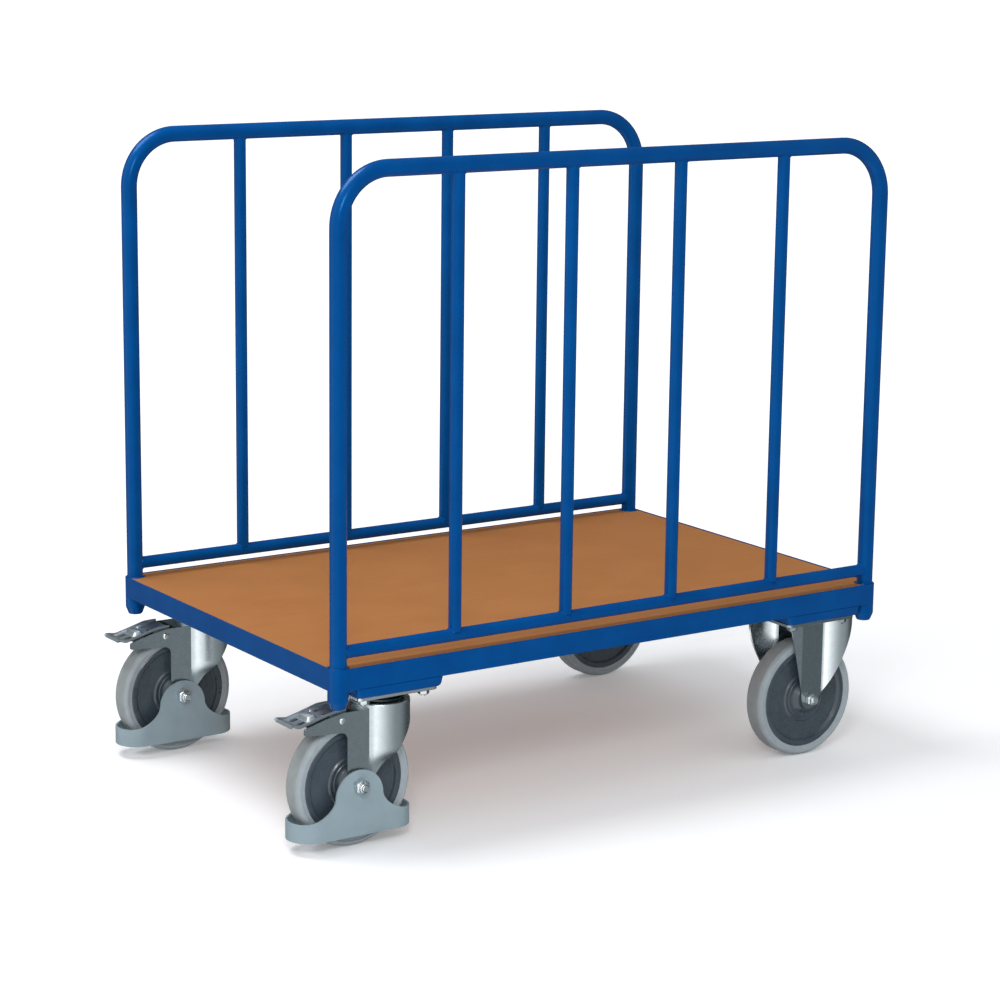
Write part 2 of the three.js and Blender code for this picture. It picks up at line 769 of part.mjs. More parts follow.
// The pedal: a bent tray between the arms that widens into the toe, with a slotted pad on it.
function pedalGeometry() {
  const side = legInner - pedalSideGap;
  const wide = pedalToeWidth / 2;
  const tray = bentSheet(
    [
      trayPoint(pedalRootReach),
      trayPoint(pedalKneeReach),
      pedalPoint(pedalDipReach, pedalDipLift),
      pedalPoint(pedalToeReach, pedalToeLift),
    ],
    pedalSheet,
  );
  const sunk = -pedalSheet / 2;
  const pad = bentSheet([trayPoint(padReach, sunk), trayPoint(padEndReach, sunk)], sunk - padRise);
  const between = -armReach - pedalToeGap;
  const narrow = (from, to) => solid(alongZ(shapeOf(rectangle(between, 0, from, to)), 0, crownTop));
  const halfSlot = slotWidth / 2;
  const slot = rectangle(-slotReach - halfSlot, halfSlot - slotReach, -slotLength / 2, slotLength / 2);
  const pedal = solid(alongY(shapeOf(tray), -wide, wide))
    .subtract(narrow(side, wide + overrun))
    .subtract(narrow(-wide - overrun, -side))
    .add(solid(alongY(shapeOf(pad), -padWidth / 2, padWidth / 2)))
    .add(pedalCheek(-side, pedalSheet - side))
    .add(pedalCheek(side - pedalSheet, side))
    .subtract(solid(alongZ(shapeOf(slot), 0, crownTop)))
    .subtract(boreY(pinDiameter / 2 + running, legOuter, -pinReach, wheelRadius + pinLift));
  return geometryOf(pedal);
}

function pinGeometry() {
  const place = point(-pinReach, wheelRadius + pinLift);
  const shank = shapeOf(round(pinDiameter / 2, boltFacets, place));
  const head = shapeOf(round(pinHeadDiameter / 2, boltFacets, place));
  const from = legOuter + seat;
  const end = from + pinHeadHeight;
  return geometryOf(
    solid(alongY(shank, -end + pinHeadHeight / 2, end - pinHeadHeight / 2))
      .add(solid(alongY(head, -end, -from)))
      .add(solid(alongY(head, from, end))),
  );
}

// The shoe hangs under the tray. Its flat face lies square to the tyre's radius once the pedal is down.
function shoeGeometry() {
  const pin = pedalPoint(pinReach, pinLift);
  const radius = wheelRadius / Math.cos(Math.PI / wheelFacets) + shoeGap;
  const middle = (shoeFrontReach + shoeRearReach) / 2;
  const height = Math.sqrt(radius ** 2 - middle ** 2);
  const face = (reach) => point(-reach, height - ((reach - middle) * middle) / height);
  const atRest = (place) => place.rotateAround(pin, -radians(pedalTravel));
  const back = -pedalSheet - seat;
  const outline = [
    trayPoint(shoeRearReach, back),
    trayPoint(pedalKneeReach, back),
    trayPoint(shoeFrontReach, back),
    atRest(face(shoeFrontReach)),
    atRest(face(shoeRearReach)),
  ];
  return alongY(shapeOf(outline), -shoeWidth / 2, shoeWidth / 2);
}

// The guard from the side: the ring, and a cheek whose round top over the axle flares out into the ring.
function guardOutline() {
  const ringTop = guardBottom + guardRingHeight - axleHeight;
  const waist = guardRise - guardBellRadius;
  const [acrossShare, downShare, acrossEndShare, downEndShare] = guardFlareShares;
  const across = guardFlareReach - guardBellRadius;
  const down = waist - ringTop;
  const flare = new THREE.CubicBezierCurve(
    point(guardBellRadius, waist),
    point(guardBellRadius + acrossShare * across, waist - downShare * down),
    point(guardBellRadius + acrossEndShare * across, waist - downEndShare * down),
    point(guardFlareReach, ringTop),
  ).getPoints(arcSteps);
  const top = arc(point(0, waist), guardBellRadius, 180, 0, guardTopSteps);
  const otherFlare = flare.map((p) => point(-p.x, p.y)).reverse();
  const low = guardBottom - axleHeight;
  const end = guardReach + overrun;
  return [
    point(-end, low),
    point(-end, ringTop),
    ...otherFlare.slice(0, -1),
    ...top,
    ...flare.slice(1),
    point(end, ringTop),
    point(end, low),
  ];
}

function guardRing(inset) {
  const radius = guardOuter - inset;
  const x = guardReach - guardOuter;
  return [
    ...arc(point(x, 0), radius, -90, 90, arcSteps),
    ...arc(point(-x, 0), radius, 90, 270, arcSteps),
  ];
}

function guardGeometry() {
  const reach = guardOuter + overrun;
  const ring = alongZ(shapeOf(guardRing(0), guardRing(guardSheet)), guardBottom - axleHeight, guardRise);
  const boss = shapeOf(round(guardBossDiameter / 2, tubeFacets));
  const near = legOuter + seat;
  const guard = solid(ring)
    .intersect(solid(alongY(shapeOf(guardOutline()), -reach, reach)))
    .add(solid(alongY(boss, -guardOuter, -near)))
    .add(solid(alongY(boss, near, guardOuter)))
    .subtract(boreY(axleDiameter / 2 + seat, reach));
  return geometryOf(guard);
}

const trolley = new THREE.Group();

function place(parent, name, geometry, material, x = 0, y = 0, z = 0) {
  const mesh = new THREE.Mesh(geometry, material);
  mesh.name = name;
  mesh.position.set(x, y, z);
  parent.add(mesh);
  return mesh;
}

function buildFrame() {
  const long = frameMember(frameLength);
  const short = frameMember(frameDepth);
  const { bluePaint } = materials;
  place(trolley, "frame_side_far", long, bluePaint, 0, frameDepth / 2, deckTop);
  place(trolley, "frame_side_near", long, bluePaint, 0, -frameDepth / 2, deckTop).rotation.z = Math.PI;
  place(trolley, "frame_end_fixed", short, bluePaint, frameLength / 2, 0, deckTop).rotation.z = -Math.PI / 2;
  place(trolley, "frame_end_swivel", short, bluePaint, -frameLength / 2, 0, deckTop).rotation.z = Math.PI / 2;
  place(trolley, "load_board", boardGeometry(), materials.board, 0, 0, deckTop - boardDrop);
  place(trolley, "deck_cross_member", crossMemberGeometry(), bluePaint, 0, 0, ledgeTop);
}

// The hoop, lower rail and bars of one long side, with the sleeves that hold the hoop's posts.
function buildSide(side, y) {
  const { bluePaint } = materials;
  place(trolley, `side_hoop_${side}`, hoopGeometry(), bluePaint, 0, y, 0);
  place(trolley, `lower_rail_${side}`, lowerRailGeometry(), bluePaint, 0, y, deckTop + lowerRailLift);
  const pitch = postPitchX / (barCount + 1);
  const bar = barGeometry();
  for (let i = 1; i <= barCount; i++) {
    const x = i * pitch - postPitchX / 2;
    place(trolley, `bar_${side}_${i}`, bar, bluePaint, x, y, deckTop + lowerRailLift);
  }
  const sleeve = sleeveGeometry();
  place(trolley, `corner_sleeve_${side}_swivel`, sleeve, bluePaint, -postPitchX / 2, y, deckTop);
  place(trolley, `corner_sleeve_${side}_fixed`, sleeve, bluePaint, postPitchX / 2, y, deckTop);
}

// A castor's group has its axle at zero.
function castorGroup(axleX, y) {
  const castor = new THREE.Group();
  castor.position.set(axleX, y, axleHeight);
  trolley.add(castor);
  return castor;
}

function buildWheel(castor, name) {
  place(castor, `${name}_axle_tube`, axleTubeGeometry(), materials.zinc);
  place(castor, `${name}_rim`, rimGeometry(), materials.rimPlastic);
  place(castor, `${name}_tyre`, tyreGeometry(), materials.rubber);
}

function buildSwivelCastor(side, y) {
  const name = `swivel_${side}`;
  const { zinc, guardPlastic, rubber } = materials;
  const castor = castorGroup(swivelAxisX - swivelOffset, y);
  const pan = panGeometry();
  place(trolley, `castor_pan_${name}`, pan, materials.bluePaint, swivelAxisX, y, axleHeight + panBottom);
  place(castor, `${name}_plate`, swivelPlateGeometry(), zinc, swivelOffset);
  place(castor, `${name}_race`, raceGeometry(), zinc, swivelOffset);
  place(castor, `${name}_kingpin`, kingpinGeometry(), zinc, swivelOffset);
  place(castor, `${name}_fork`, swivelForkGeometry(), zinc);
  const bolt = axleBoltGeometry(swivelAxleAcross, swivelNutHeight, guardOuter - legOuter);
  place(castor, `${name}_axle_bolt`, bolt, zinc);
  place(castor, `${name}_pedal_pin`, pinGeometry(), zinc);
  place(castor, `${name}_brake_pedal`, pedalGeometry(), zinc);
  place(castor, `${name}_brake_shoe`, shoeGeometry(), rubber);
  place(castor, `${name}_foot_guard`, guardGeometry(), guardPlastic);
  buildWheel(castor, name);
}

function buildFixedCastor(side, y) {
  const name = `fixed_${side}`;
  const { zinc, bluePaint } = materials;
  const castor = castorGroup(fixedAxleX, y);
  const pan = panGeometry();
  place(trolley, `castor_pan_${name}`, pan, bluePaint, fixedAxleX, y, axleHeight + panBottom);
  place(castor, `${name}_fork`, fixedForkGeometry(), zinc);
  place(castor, `${name}_axle_bolt`, axleBoltGeometry(fixedAxleAcross, fixedNutHeight, 0), zinc);
  buildWheel(castor, name);
}

buildFrame();
for (const [side, sign] of [["near", -1], ["far", 1]]) {
  buildSide(side, (sign * postPitchY) / 2);
  buildSwivelCastor(side, sign * castorY);
  buildFixedCastor(side, sign * castorY);
}

// The pedals' toes reach past the frame, so the middle of the outer box lies off the frame's middle.
const box = new THREE.Box3().setFromObject(trolley);
trolley.position.x = -(box.min.x + box.max.x) / 2;

export default trolley;
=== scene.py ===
import bmesh
import bpy
import numpy as np
from mathutils import Matrix, Vector


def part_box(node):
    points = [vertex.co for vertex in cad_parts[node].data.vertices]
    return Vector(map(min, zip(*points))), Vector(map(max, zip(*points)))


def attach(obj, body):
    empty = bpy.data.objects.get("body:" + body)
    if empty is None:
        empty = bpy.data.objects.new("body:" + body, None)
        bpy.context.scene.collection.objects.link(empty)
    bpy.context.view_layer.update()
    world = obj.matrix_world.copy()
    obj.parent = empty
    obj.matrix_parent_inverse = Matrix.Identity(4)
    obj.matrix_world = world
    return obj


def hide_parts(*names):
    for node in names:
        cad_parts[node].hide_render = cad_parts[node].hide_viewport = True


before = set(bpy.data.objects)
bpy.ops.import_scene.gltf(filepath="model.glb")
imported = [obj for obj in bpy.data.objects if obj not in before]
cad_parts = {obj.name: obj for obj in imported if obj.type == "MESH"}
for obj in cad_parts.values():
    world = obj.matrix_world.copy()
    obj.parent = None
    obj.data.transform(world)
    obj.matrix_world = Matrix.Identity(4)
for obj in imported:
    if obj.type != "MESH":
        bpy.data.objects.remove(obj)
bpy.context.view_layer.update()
print("frame loaded")

# Shapes are worked out in millimetres, in the frame of the CAD model, and turned to metres when a piece is made.
metre = 0.001
turn = 2 * np.pi


def show(name, data):
    # an object of the scene that holds the data
    made = bpy.data.objects.new(name, data)
    bpy.context.scene.collection.objects.link(made)
    return made


def setDirections(thing, right, up, back, place):
    # the object's three directions and its place are the columns of its matrix
    matrix = np.eye(4)
    matrix[:3] = np.column_stack([right, up, back, place])
    thing.matrix_world = Matrix(matrix.tolist())


# the camera's place in metres and its directions, solved from the straight edges of hoops, frame and deck
camera = {
    "place": (-2.48580, -3.73294, 1.39199),
    "right": (0.83078159, -0.55647111, 0.01191025),
    "down": (-0.10695739, -0.18060802, -0.97772228),
    "forward": (0.54622529, 0.81099978, -0.20956452),
    "lens": 99.98, "sensor": 36, "farthest": 50,
}


def makeCamera():
    # a camera's own directions are right, up and back
    data = bpy.data.cameras.new("camera")
    data.lens, data.sensor_width, data.clip_end = camera["lens"], camera["sensor"], camera["farthest"]
    shown = show("camera", data)
    setDirections(shown, camera["right"], -np.array(camera["down"]), -np.array(camera["forward"]), camera["place"])
    bpy.context.scene.camera = shown


makeCamera()
print("camera placed")


def linear(code):
    # an sRGB hex value as linear red, green, blue and alpha: a straight line up to 0.04045, then a power of 2.4
    value = np.array([int(code[i:i + 2], 16) for i in (1, 3, 5)]) / 255
    low, high = value / 12.92, ((value + 0.055) / 1.055) ** 2.4
    return (*np.where(value <= 0.04045, low, high).tolist(), 1.0)


def addNode(tree, kind, values=None, links=None, stops=(), **settings):
    # The outputs of a node with its settings, its sockets' values and links, and a ramp's stops (places, hex colours).
    made = tree.nodes.new(kind)
    for key, value in settings.items():
        setattr(made, key, value)
    for socket, value in (values or {}).items():
        made.inputs[socket].default_value = value
    for socket, source in (links or {}).items():
        tree.links.new(source, made.inputs[socket])
    if stops:
        elements = made.color_ramp.elements
        while len(elements) < len(stops):
            elements.new(0.5)
        for element, (place, code) in zip(elements, stops):
            element.position = place
            element.color = linear(code)
    return made.outputs


def startMaterial(name, values):
    # a material with the values on its shader, and the place on the piece that its patterns read
    material = bpy.data.materials.new(name)
    material.use_nodes = True
    tree = material.node_tree
    shader = tree.nodes["Principled BSDF"]
    for socket, value in values.items():
        shader.inputs[socket].default_value = value
    return material, tree, shader, addNode(tree, "ShaderNodeTexCoord")["Object"]


noiseLow, noiseHigh = 0.3, 0.7  # nearly all of a noise lies between these


def makeFinish(name, values, look):
    # A noise is the size of its spots in millimetres, its detail and roughness, and any stretch. The spots, or half
    # of them plus a wide cloud, run from a dark to a light shade, and the skin is lifted by its height. The gloss is
    # the roughness, from its own noise or the spots. An attribute of the mesh says how far the second shades show.
    material, tree, shader, place = startMaterial(name, values)
    noise = {}
    for part, (size, detail, rough, *stretch) in look["noises"].items():
        at = place
        if stretch:
            at = addNode(tree, "ShaderNodeMapping", {"Scale": stretch[0]}, {"Vector": place})[0]
        grain = {"Scale": 1 / (size * metre), "Detail": detail, "Roughness": rough}
        noise[part] = addNode(tree, "ShaderNodeTexNoise", grain, {"Vector": at})[0]
    spots = noise["spots"]
    for part, (low, high) in look.get("ranges", {}).items():
        ends = {"From Min": noiseLow, "From Max": noiseHigh, "To Min": low, "To Max": high}
        noise[part] = addNode(tree, "ShaderNodeMapRange", ends, {"Value": noise.get(part, spots)})[0]
    if "gloss" in noise:
        tree.links.new(noise["gloss"], shader.inputs["Roughness"])
    if "cloud" in noise:
        links = {0: spots, 2: noise["cloud"]}
        spots = addNode(tree, "ShaderNodeMath", {1: 0.5}, links, operation="MULTIPLY_ADD")[0]
    shades = []
    for dark, light in look["shades"]:
        stops = [(noiseLow, dark), (noiseHigh, light)]
        shades.append(addNode(tree, "ShaderNodeValToRGB", None, {"Fac": spots}, stops)["Color"])
    colour = shades[0]
    if "attribute" in look:
        share = addNode(tree, "ShaderNodeAttribute", attribute_name=look["attribute"])["Fac"]
        links = {"Factor": share, 6: shades[0], 7: shades[1]}
        colour = addNode(tree, "ShaderNodeMix", None, links, data_type="RGBA")[2]
    tree.links.new(colour, shader.inputs["Base Color"])
    bump = addNode(tree, "ShaderNodeBump", {"Distance": look["lift"] * metre}, {"Height": noise["skin"]})
    tree.links.new(bump[0], shader.inputs["Normal"])
    return material


# Steel tube and sheet with a baked polyester powder coat: glossy and even, with a faint orange-peel ripple.
blue = makeFinish("powderCoatedSteel", {"Specular Tint": linear("#4b98dc")}, {
    "shades": [("#004282", "#00498c")], "ranges": {"gloss": (0.18, 0.26)}, "lift": 0.002,
    "noises": {"spots": (60, 2, 0.5), "gloss": (25, 3, 0.5), "skin": (3, 1, 0.5)},
})
# Chipboard faced with a beech-coloured melamine film, pressed smooth: even colour with faint long grain.
board = makeFinish("laminatedBoard", {"Specular IOR Level": 0.14}, {
    "shades": [("#a96e3d", "#b07542")], "ranges": {"cloud": (0.1, 0.4), "gloss": (0.38, 0.5)}, "lift": 0.01,
    "noises": {"spots": (5, 4, 0.6, (0.06, 1, 1)), "cloud": (140, 2, 0.5), "skin": (1.2, 2, 0.5)},
})


def zincPlatedSteel(name, dark, light, gloss=(0.3, 0.24)):
    # Pressed steel with a bright zinc plating: a soft mirror with faint cloudy spots and fine drawing lines. Where the
    # attribute is 1, a near-white second shade is a painted highlight, for the bright reflections on crowns and wings.
    return makeFinish(name, {"Metallic": 1.0}, {
        "shades": [(dark, light), ("#e9eff1", "#f2f7f9")], "attribute": "paintedHighlight", "ranges": {"gloss": gloss},
        "noises": {"spots": (9, 4, 0.6), "skin": (2.4, 2, 0.5, (1, 1, 0.08))}, "lift": 0.003,
    })


zinc = zincPlatedSteel("zincPlatedSteel", "#a8b2b6", "#b3bdc1")
# a darker copy of the zinc for the fixed castors' wings and plates: painted shade
shadedZinc = zincPlatedSteel("shadedZincPlatedSteel", "#8b969a", "#949fa3")
satinZinc = zincPlatedSteel("satinZincPlatedSteel", "#acb4b7", "#b9c1c4", (0.48, 0.4))
# a lighter copy of the zinc for the swivel plates, the axle bolts and the rivets: painted highlight on their edges and
# facets
highlightZinc = zincPlatedSteel("highlightZincPlatedSteel", "#d3dadc", "#dfe5e7")
# a dark copy of the zinc for the ball race: painted shade, for the shadow between plate and fork
shadedRaceSteel = zincPlatedSteel("shadedBearingSteel", "#3c4244", "#454c4f")
# Thermoplastic rubber, moulded: matt cool grey, and browner on the tread, where dust settles.
tyreRubber = makeFinish("greyRubber", {"Roughness": 0.55, "Specular IOR Level": 0.4}, {
    "shades": [("#98a3a8", "#a2adb3"), ("#8f9596", "#999fa0")], "attribute": "tread", "lift": 0.02,
    "noises": {"spots": (12, 4, 0.5), "skin": (0.9, 2, 0.5)},
})
# Glass-filled polyamide, moulded: dark slate with a satin skin.
rimPlastic = makeFinish("darkPolyamide", {"IOR": 1.53}, {
    "shades": [("#3a444c", "#434f58")], "ranges": {"gloss": (0.24, 0.32)}, "lift": 0.01,
    "noises": {"spots": (30, 3, 0.5), "skin": (0.8, 2, 0.5)},
})
# Polypropylene, moulded: pale blue-grey with a fine spark-eroded skin.
guardPlastic = makeFinish("greyPolypropylene", {"Roughness": 0.48, "IOR": 1.49}, {
    "shades": [("#8a9ca4", "#92a5ad")], "lift": 0.015, "noises": {"spots": (40, 3, 0.5), "skin": (0.7, 2, 0.5)},
})
# Moulded natural rubber: black and dull.
shoeRubber = makeFinish("blackRubber", {"Roughness": 0.8}, {
    "shades": [("#1c1d1e", "#262728")], "lift": 0.03, "noises": {"spots": (8, 3, 0.5), "skin": (1.0, 3, 0.5)},
})
print("materials made")


def unit(vectors):
    # each vector over its own length
    return vectors / np.linalg.norm(vectors, axis=-1, keepdims=True)


def quarterTurn(count):
    # even angles from 0 to a quarter turn
    return np.linspace(0, turn / 4, count)


def roundCorners(line, radii, steps=6, closed=False):
    # Each inner corner becomes an arc of its radius that touches both sides: its points are the sums of
    # the arc's first and last radius, weighted by the sines of the turn that is left and done.
    line = np.asarray(line, float)
    if closed:
        line = np.vstack([line[-1:], line, line[:1]])
    radii = np.broadcast_to(np.asarray(radii, float), len(line) - 2)
    made = []
    for before, corner, after, radius in zip(line, line[1:], line[2:], radii):
        u, v = unit(before - corner), unit(after - corner)
        half = np.arccos(np.clip(u @ v, -1, 1)) / 2
        if radius <= 0 or np.pi / 2 - half < 0.01:  # no arc, or hardly a corner
            made.append(corner[None])
            continue
        centre = corner + unit(u + v) * radius / np.sin(half)
        start = corner + u * radius / np.tan(half) - centre
        end = corner + v * radius / np.tan(half) - centre
        whole = np.pi - 2 * half
        t = np.linspace(0, 1, steps + 1)[:, None]
        made.append(centre + (start * np.sin((1 - t) * whole) + end * np.sin(t * whole)) / np.sin(whole))
    made = np.vstack(made)
    return made if closed else np.vstack([line[:1], made, line[-1:]])


def offsetLine(line, distance):
    # moved to the left of its direction, with mitred corners
    along = unit(np.diff(line, axis=0))
    side = np.column_stack([-along[:, 1], along[:, 0]])
    before, after = np.vstack([side[:1], side]), np.vstack([side, side[-1:]])
    middle = unit(before + after)
    return line + middle * (distance / np.sum(middle * before, axis=1))[:, None]


def smoothLine(x, places, heights, spreadBy):
    # a bent line with its corners softened: the mean of the line over a short stretch to each side
    steps = np.linspace(-spreadBy, spreadBy, 9)[:, None]
    return np.interp(x[None] + steps, places, heights).mean(axis=0)


def roundedRectangle(halfX, halfY, radius, steps=6):
    # four corners, each turned into a quarter circle
    corners = [(-halfX, -halfY), (halfX, -halfY), (halfX, halfY), (-halfX, halfY)]
    return roundCorners(corners, radius, steps, closed=True)


def grid(points, wrapRows=False, wrapColumns=False, capFirst=False, capLast=False):
    # quads between neighbouring points of a grid of rows and columns, and a face over the first or last row
    rows, columns = points.shape[:2]
    index = np.arange(rows * columns).reshape(rows, columns)
    first, last = index[0], index[-1]
    if wrapRows:
        index = np.vstack([index, index[:1]])
    if wrapColumns:
        index = np.hstack([index, index[:, :1]])
    quads = np.stack([index[:-1, :-1], index[:-1, 1:], index[1:, 1:], index[1:, :-1]], axis=-1).reshape(-1, 4)
    faces = quads.tolist()
    if capFirst:
        faces.append(first[::-1].tolist())
    if capLast:
        faces.append(last.tolist())
    return points.reshape(-1, 3), faces


def surface(x, y, z):
    # a grid of points, with each of the three spread over all its rows and columns
    return np.stack(np.broadcast_arrays(x, y, z), axis=-1)


def loft(rings):
    # a closed solid through closed rings of as many points each
    return grid(np.asarray(rings, float), wrapColumns=True, capFirst=True, capLast=True)


def inOrder(axis, along, first, second):
    # three numbers as x, y and z: one along the axis, and the others in their order
    return {"x": (along, first, second), "y": (first, along, second), "z": (first, second, along)}[axis]


def spread(outline, axis, place):
    # an outline's two numbers and a third along the axis, as points in space
    along = np.broadcast_to(np.asarray(place, float), len(outline))
    return np.column_stack(inOrder(axis, along, outline[:, 0], outline[:, 1]))


def turned(profile, axis, segments=64, centre=(0, 0, 0), closed=False):
    # a profile of radius and height, carried round the axis
    profile = np.asarray(profile, float)
    angle = np.arange(segments) / segments * turn
    radius, height = profile[:, :1], profile[:, 1:]
    first, second = radius * np.cos(angle), radius * np.sin(angle)
    points = np.stack(inOrder(axis, np.broadcast_to(height, first.shape), first, second), axis=-1)
    points = points + np.asarray(centre, float)
    return grid(points, wrapRows=closed, wrapColumns=True, capFirst=not closed, capLast=not closed)


def tube(line, y, radius, sides):
    # a circle carried along a line in the plane of one y, square to it
    line, side = spread(np.asarray(line, float), "y", y), np.array([0.0, 1.0, 0.0])
    across = np.cross(unit(np.gradient(line, axis=0)), side)
    angle = np.arange(sides)[None, :, None] / sides * turn
    return loft(line[:, None] + radius * (np.cos(angle) * across[:, None] + np.sin(angle) * side))


bead = {"size": 1.5, "swell": 0.14, "scales": 14, "steps": 96, "sectionSteps": 8}


def weldBead(centre, radius, host, along, hostAxis):
    # The bead follows the cut of a tube on its host tube: round the tube's circle, at the host's height
    # sqrt(host^2 - offset^2), with a section circle whose radius swells and shrinks like a row of scales.
    angle = np.arange(bead["steps"]) / bead["steps"] * turn
    section = np.arange(bead["sectionSteps"])[None, :, None] / bead["sectionSteps"] * turn
    along, hostAxis = np.array(along, float), np.array(hostAxis, float)
    out = np.cos(angle)[:, None] * hostAxis + np.sin(angle)[:, None] * np.cross(along, hostAxis)
    height = np.sqrt(np.maximum(host**2 - (radius * np.sin(angle)) ** 2, 0))
    middle = np.asarray(centre, float) + radius * out + height[:, None] * along
    size = bead["size"] * (1 + bead["swell"] * np.sin(angle * bead["scales"]))[:, None, None]
    ring = np.cos(section) * out[:, None] + np.sin(section) * along
    return grid(middle[:, None] + size * ring, wrapRows=True, wrapColumns=True)


def hexRing(across, limit, count=48):
    # a hexagon, half its width over the cosine of the angle from the nearest flat, with corners cut to a circle
    angle = np.arange(count) / count * turn
    flat = across / 2 / np.cos((angle + turn / 12) % (turn / 6) - turn / 12)
    radius = np.minimum(flat, limit)
    return np.column_stack([radius * np.cos(angle), radius * np.sin(angle)])


# a chamfer in steps: how far in from the end, and the cutting circle's radius as a share of the width over the flats
chamfer = [(0, 0.475), (0.5, 0.52), (1.1, 0.555), (1.8, 1 / np.sqrt(3))]


def hexagon(across, axis, low, high, centre=(0, 0, 0), both=True):
    # a nut or head: rings that grow from the chamfer's circle to the full hexagon, and back if both ends have one
    far = chamfer[::-1] if both else [(0, chamfer[-1][1])]
    sign = 1 if high > low else -1
    levels = [(low + sign * drop, across * share) for drop, share in chamfer]
    levels += [(high - sign * drop, across * share) for drop, share in far]
    rings = [spread(hexRing(across, limit), axis, place) for place, limit in levels]
    return loft(np.array(rings) + np.asarray(centre, float))


thread = {"root": 0.88, "tip": 0.8, "sides": 32}  # radii as shares of the bolt's


def threaded(radius, pitch, axis, low, high, centre=(0, 0, 0)):
    # a bolt's end: ridges of one pitch each, with a chamfered tip
    count = max(int(abs(high - low) / pitch), 1)
    height = np.linspace(low, high, 2 * count + 1)
    width = np.where(np.arange(len(height)) % 2 == 0, radius, radius * thread["root"])
    width[-1] = radius * thread["tip"]
    profile = np.vstack([[0, low], np.column_stack([width, height]), [0, high]])
    return turned(profile, axis, thread["sides"], centre)


joining = {"weld": 0.01, "shortest": 0.002, "bevelAngle": 40, "bevelSteps": 2}  # millimetres and degrees


def addPiece(name, patches, material, nodes=(), shift=(0, 0, 0), body="trolley", wall=0.0, edge=0.0, sharp=35):
    # Joins patches into one object in metres, welds their seams, and gives it its finish, wall, edges and body. With a
    # wall they are an open sheet whose faces look away from the shift, the castor's axle: the sum of each face's area
    # times its normal times its distance is more than 0.
    points, faces, count = [], [], 0
    for patchPoints, patchFaces in patches:
        points.append(patchPoints)
        faces += [[i + count for i in face] for face in patchFaces]
        count += len(patchPoints)
    points = (np.vstack(points) + np.asarray(shift, float)) * metre
    mesh = bpy.data.meshes.new(name)
    mesh.from_pydata(points.tolist(), [], faces)
    work = bmesh.new()
    work.from_mesh(mesh)
    bmesh.ops.remove_doubles(work, verts=work.verts, dist=joining["weld"] * metre)
    bmesh.ops.dissolve_degenerate(work, edges=work.edges, dist=joining["shortest"] * metre)
    bmesh.ops.recalc_face_normals(work, faces=work.faces)
    if wall:
        start = Vector(shift) * metre
        outward = sum(f.calc_area() * f.normal.dot(f.calc_center_median() - start) for f in work.faces)
        if outward < 0:
            bmesh.ops.reverse_faces(work, faces=work.faces)
    work.to_mesh(mesh)
    work.free()
    mesh.shade_smooth()
    mesh.set_sharp_from_angle(angle=np.radians(sharp))
    mesh.materials.append(material)
    made = show(name, mesh)
    if wall:
        sheet = made.modifiers.new("wall", "SOLIDIFY")
        sheet.thickness = wall * metre
        sheet.offset = -1
    if edge:
        finish = made.modifiers.new("edge", "BEVEL")
        finish.width = edge * metre
        finish.segments = joining["bevelSteps"]
        finish.limit_method = "ANGLE"
        finish.angle_limit = np.radians(joining["bevelAngle"])
        finish.harden_normals = True
    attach(made, body)
    if nodes:
        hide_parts(*nodes)
    return made


def mark(piece, name, shareAt, origin):
    # an attribute whose value at a point is shareAt of its three numbers in millimetres from the origin
    places = np.empty(len(piece.data.vertices) * 3)
    piece.data.vertices.foreach_get("co", places)
    x, y, z = (places.reshape(-1, 3) / metre - origin).T
    piece.data.attributes.new(name, "FLOAT", "POINT").data.foreach_set("value", shareAt(x, y, z))


def dress(node, material):
    # a CAD solid that shows as it is gets its finish
    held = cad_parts[node].data.materials
    held.clear()
    held.append(material)


def reach(node):
    # the lowest and the highest corner of a CAD node's box
    low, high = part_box(node)
    return np.array(low) / metre, np.array(high) / metre


def middle(node):
    # halfway between the corners of a CAD node's box
    low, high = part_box(node)
    return (np.array(low) + np.array(high)) / 2 / metre


left, right = reach("frame_end_swivel")[0][0], reach("frame_end_fixed")[1][0]
front, back = reach("frame_side_near")[0][1], reach("frame_side_far")[1][1]
deckTop = reach("frame_side_near")[1][2]
frameMiddle = np.array([(left + right) / 2, (front + back) / 2, 0])
halfLength, halfDepth = (right - left) / 2, (back - front) / 2

sleeve = {
    "radius": 16, "length": 63, "post": 13,
    # the foot's profile of radius and height, where its taper meets the wall, and the rim's way in and down
    "foot": [(0, 1.2), (8, 1.2), (9, 0), (10.8, 0), (11.8, 1.3)], "taper": 12, "rim": (1, 4),
    "rounds": [0.4, 0.4, 0.6, 1.2, 5, 0.8, 0.5],
}


def buildSleeves():
    # turned, with a long soft taper at the foot and a rounded rim round the post
    radius, length, post = sleeve["radius"], sleeve["length"], sleeve["post"]
    inwards, down = sleeve["rim"]
    wall = [(radius, sleeve["taper"]), (radius, length), (post, length), (post - inwards, length - down)]
    patches = [turned(roundCorners(sleeve["foot"] + wall, sleeve["rounds"], 4), "z", 64)]
    for side in ("near", "far"):
        for end in ("swivel", "fixed"):
            node = f"corner_sleeve_{side}_{end}"
            place = middle(node)
            place[2] = deckTop - length
            addPiece(f"sleeve_{side}_{end}", patches, blue, [node], place)


# the channel's size, and how far down its ledge is for the board
member = {"height": 35, "sheet": 2.5, "width": 30, "ledge": 20, "ledgeDrop": 15.3, "fold": 2.6, "edge": 0.5}


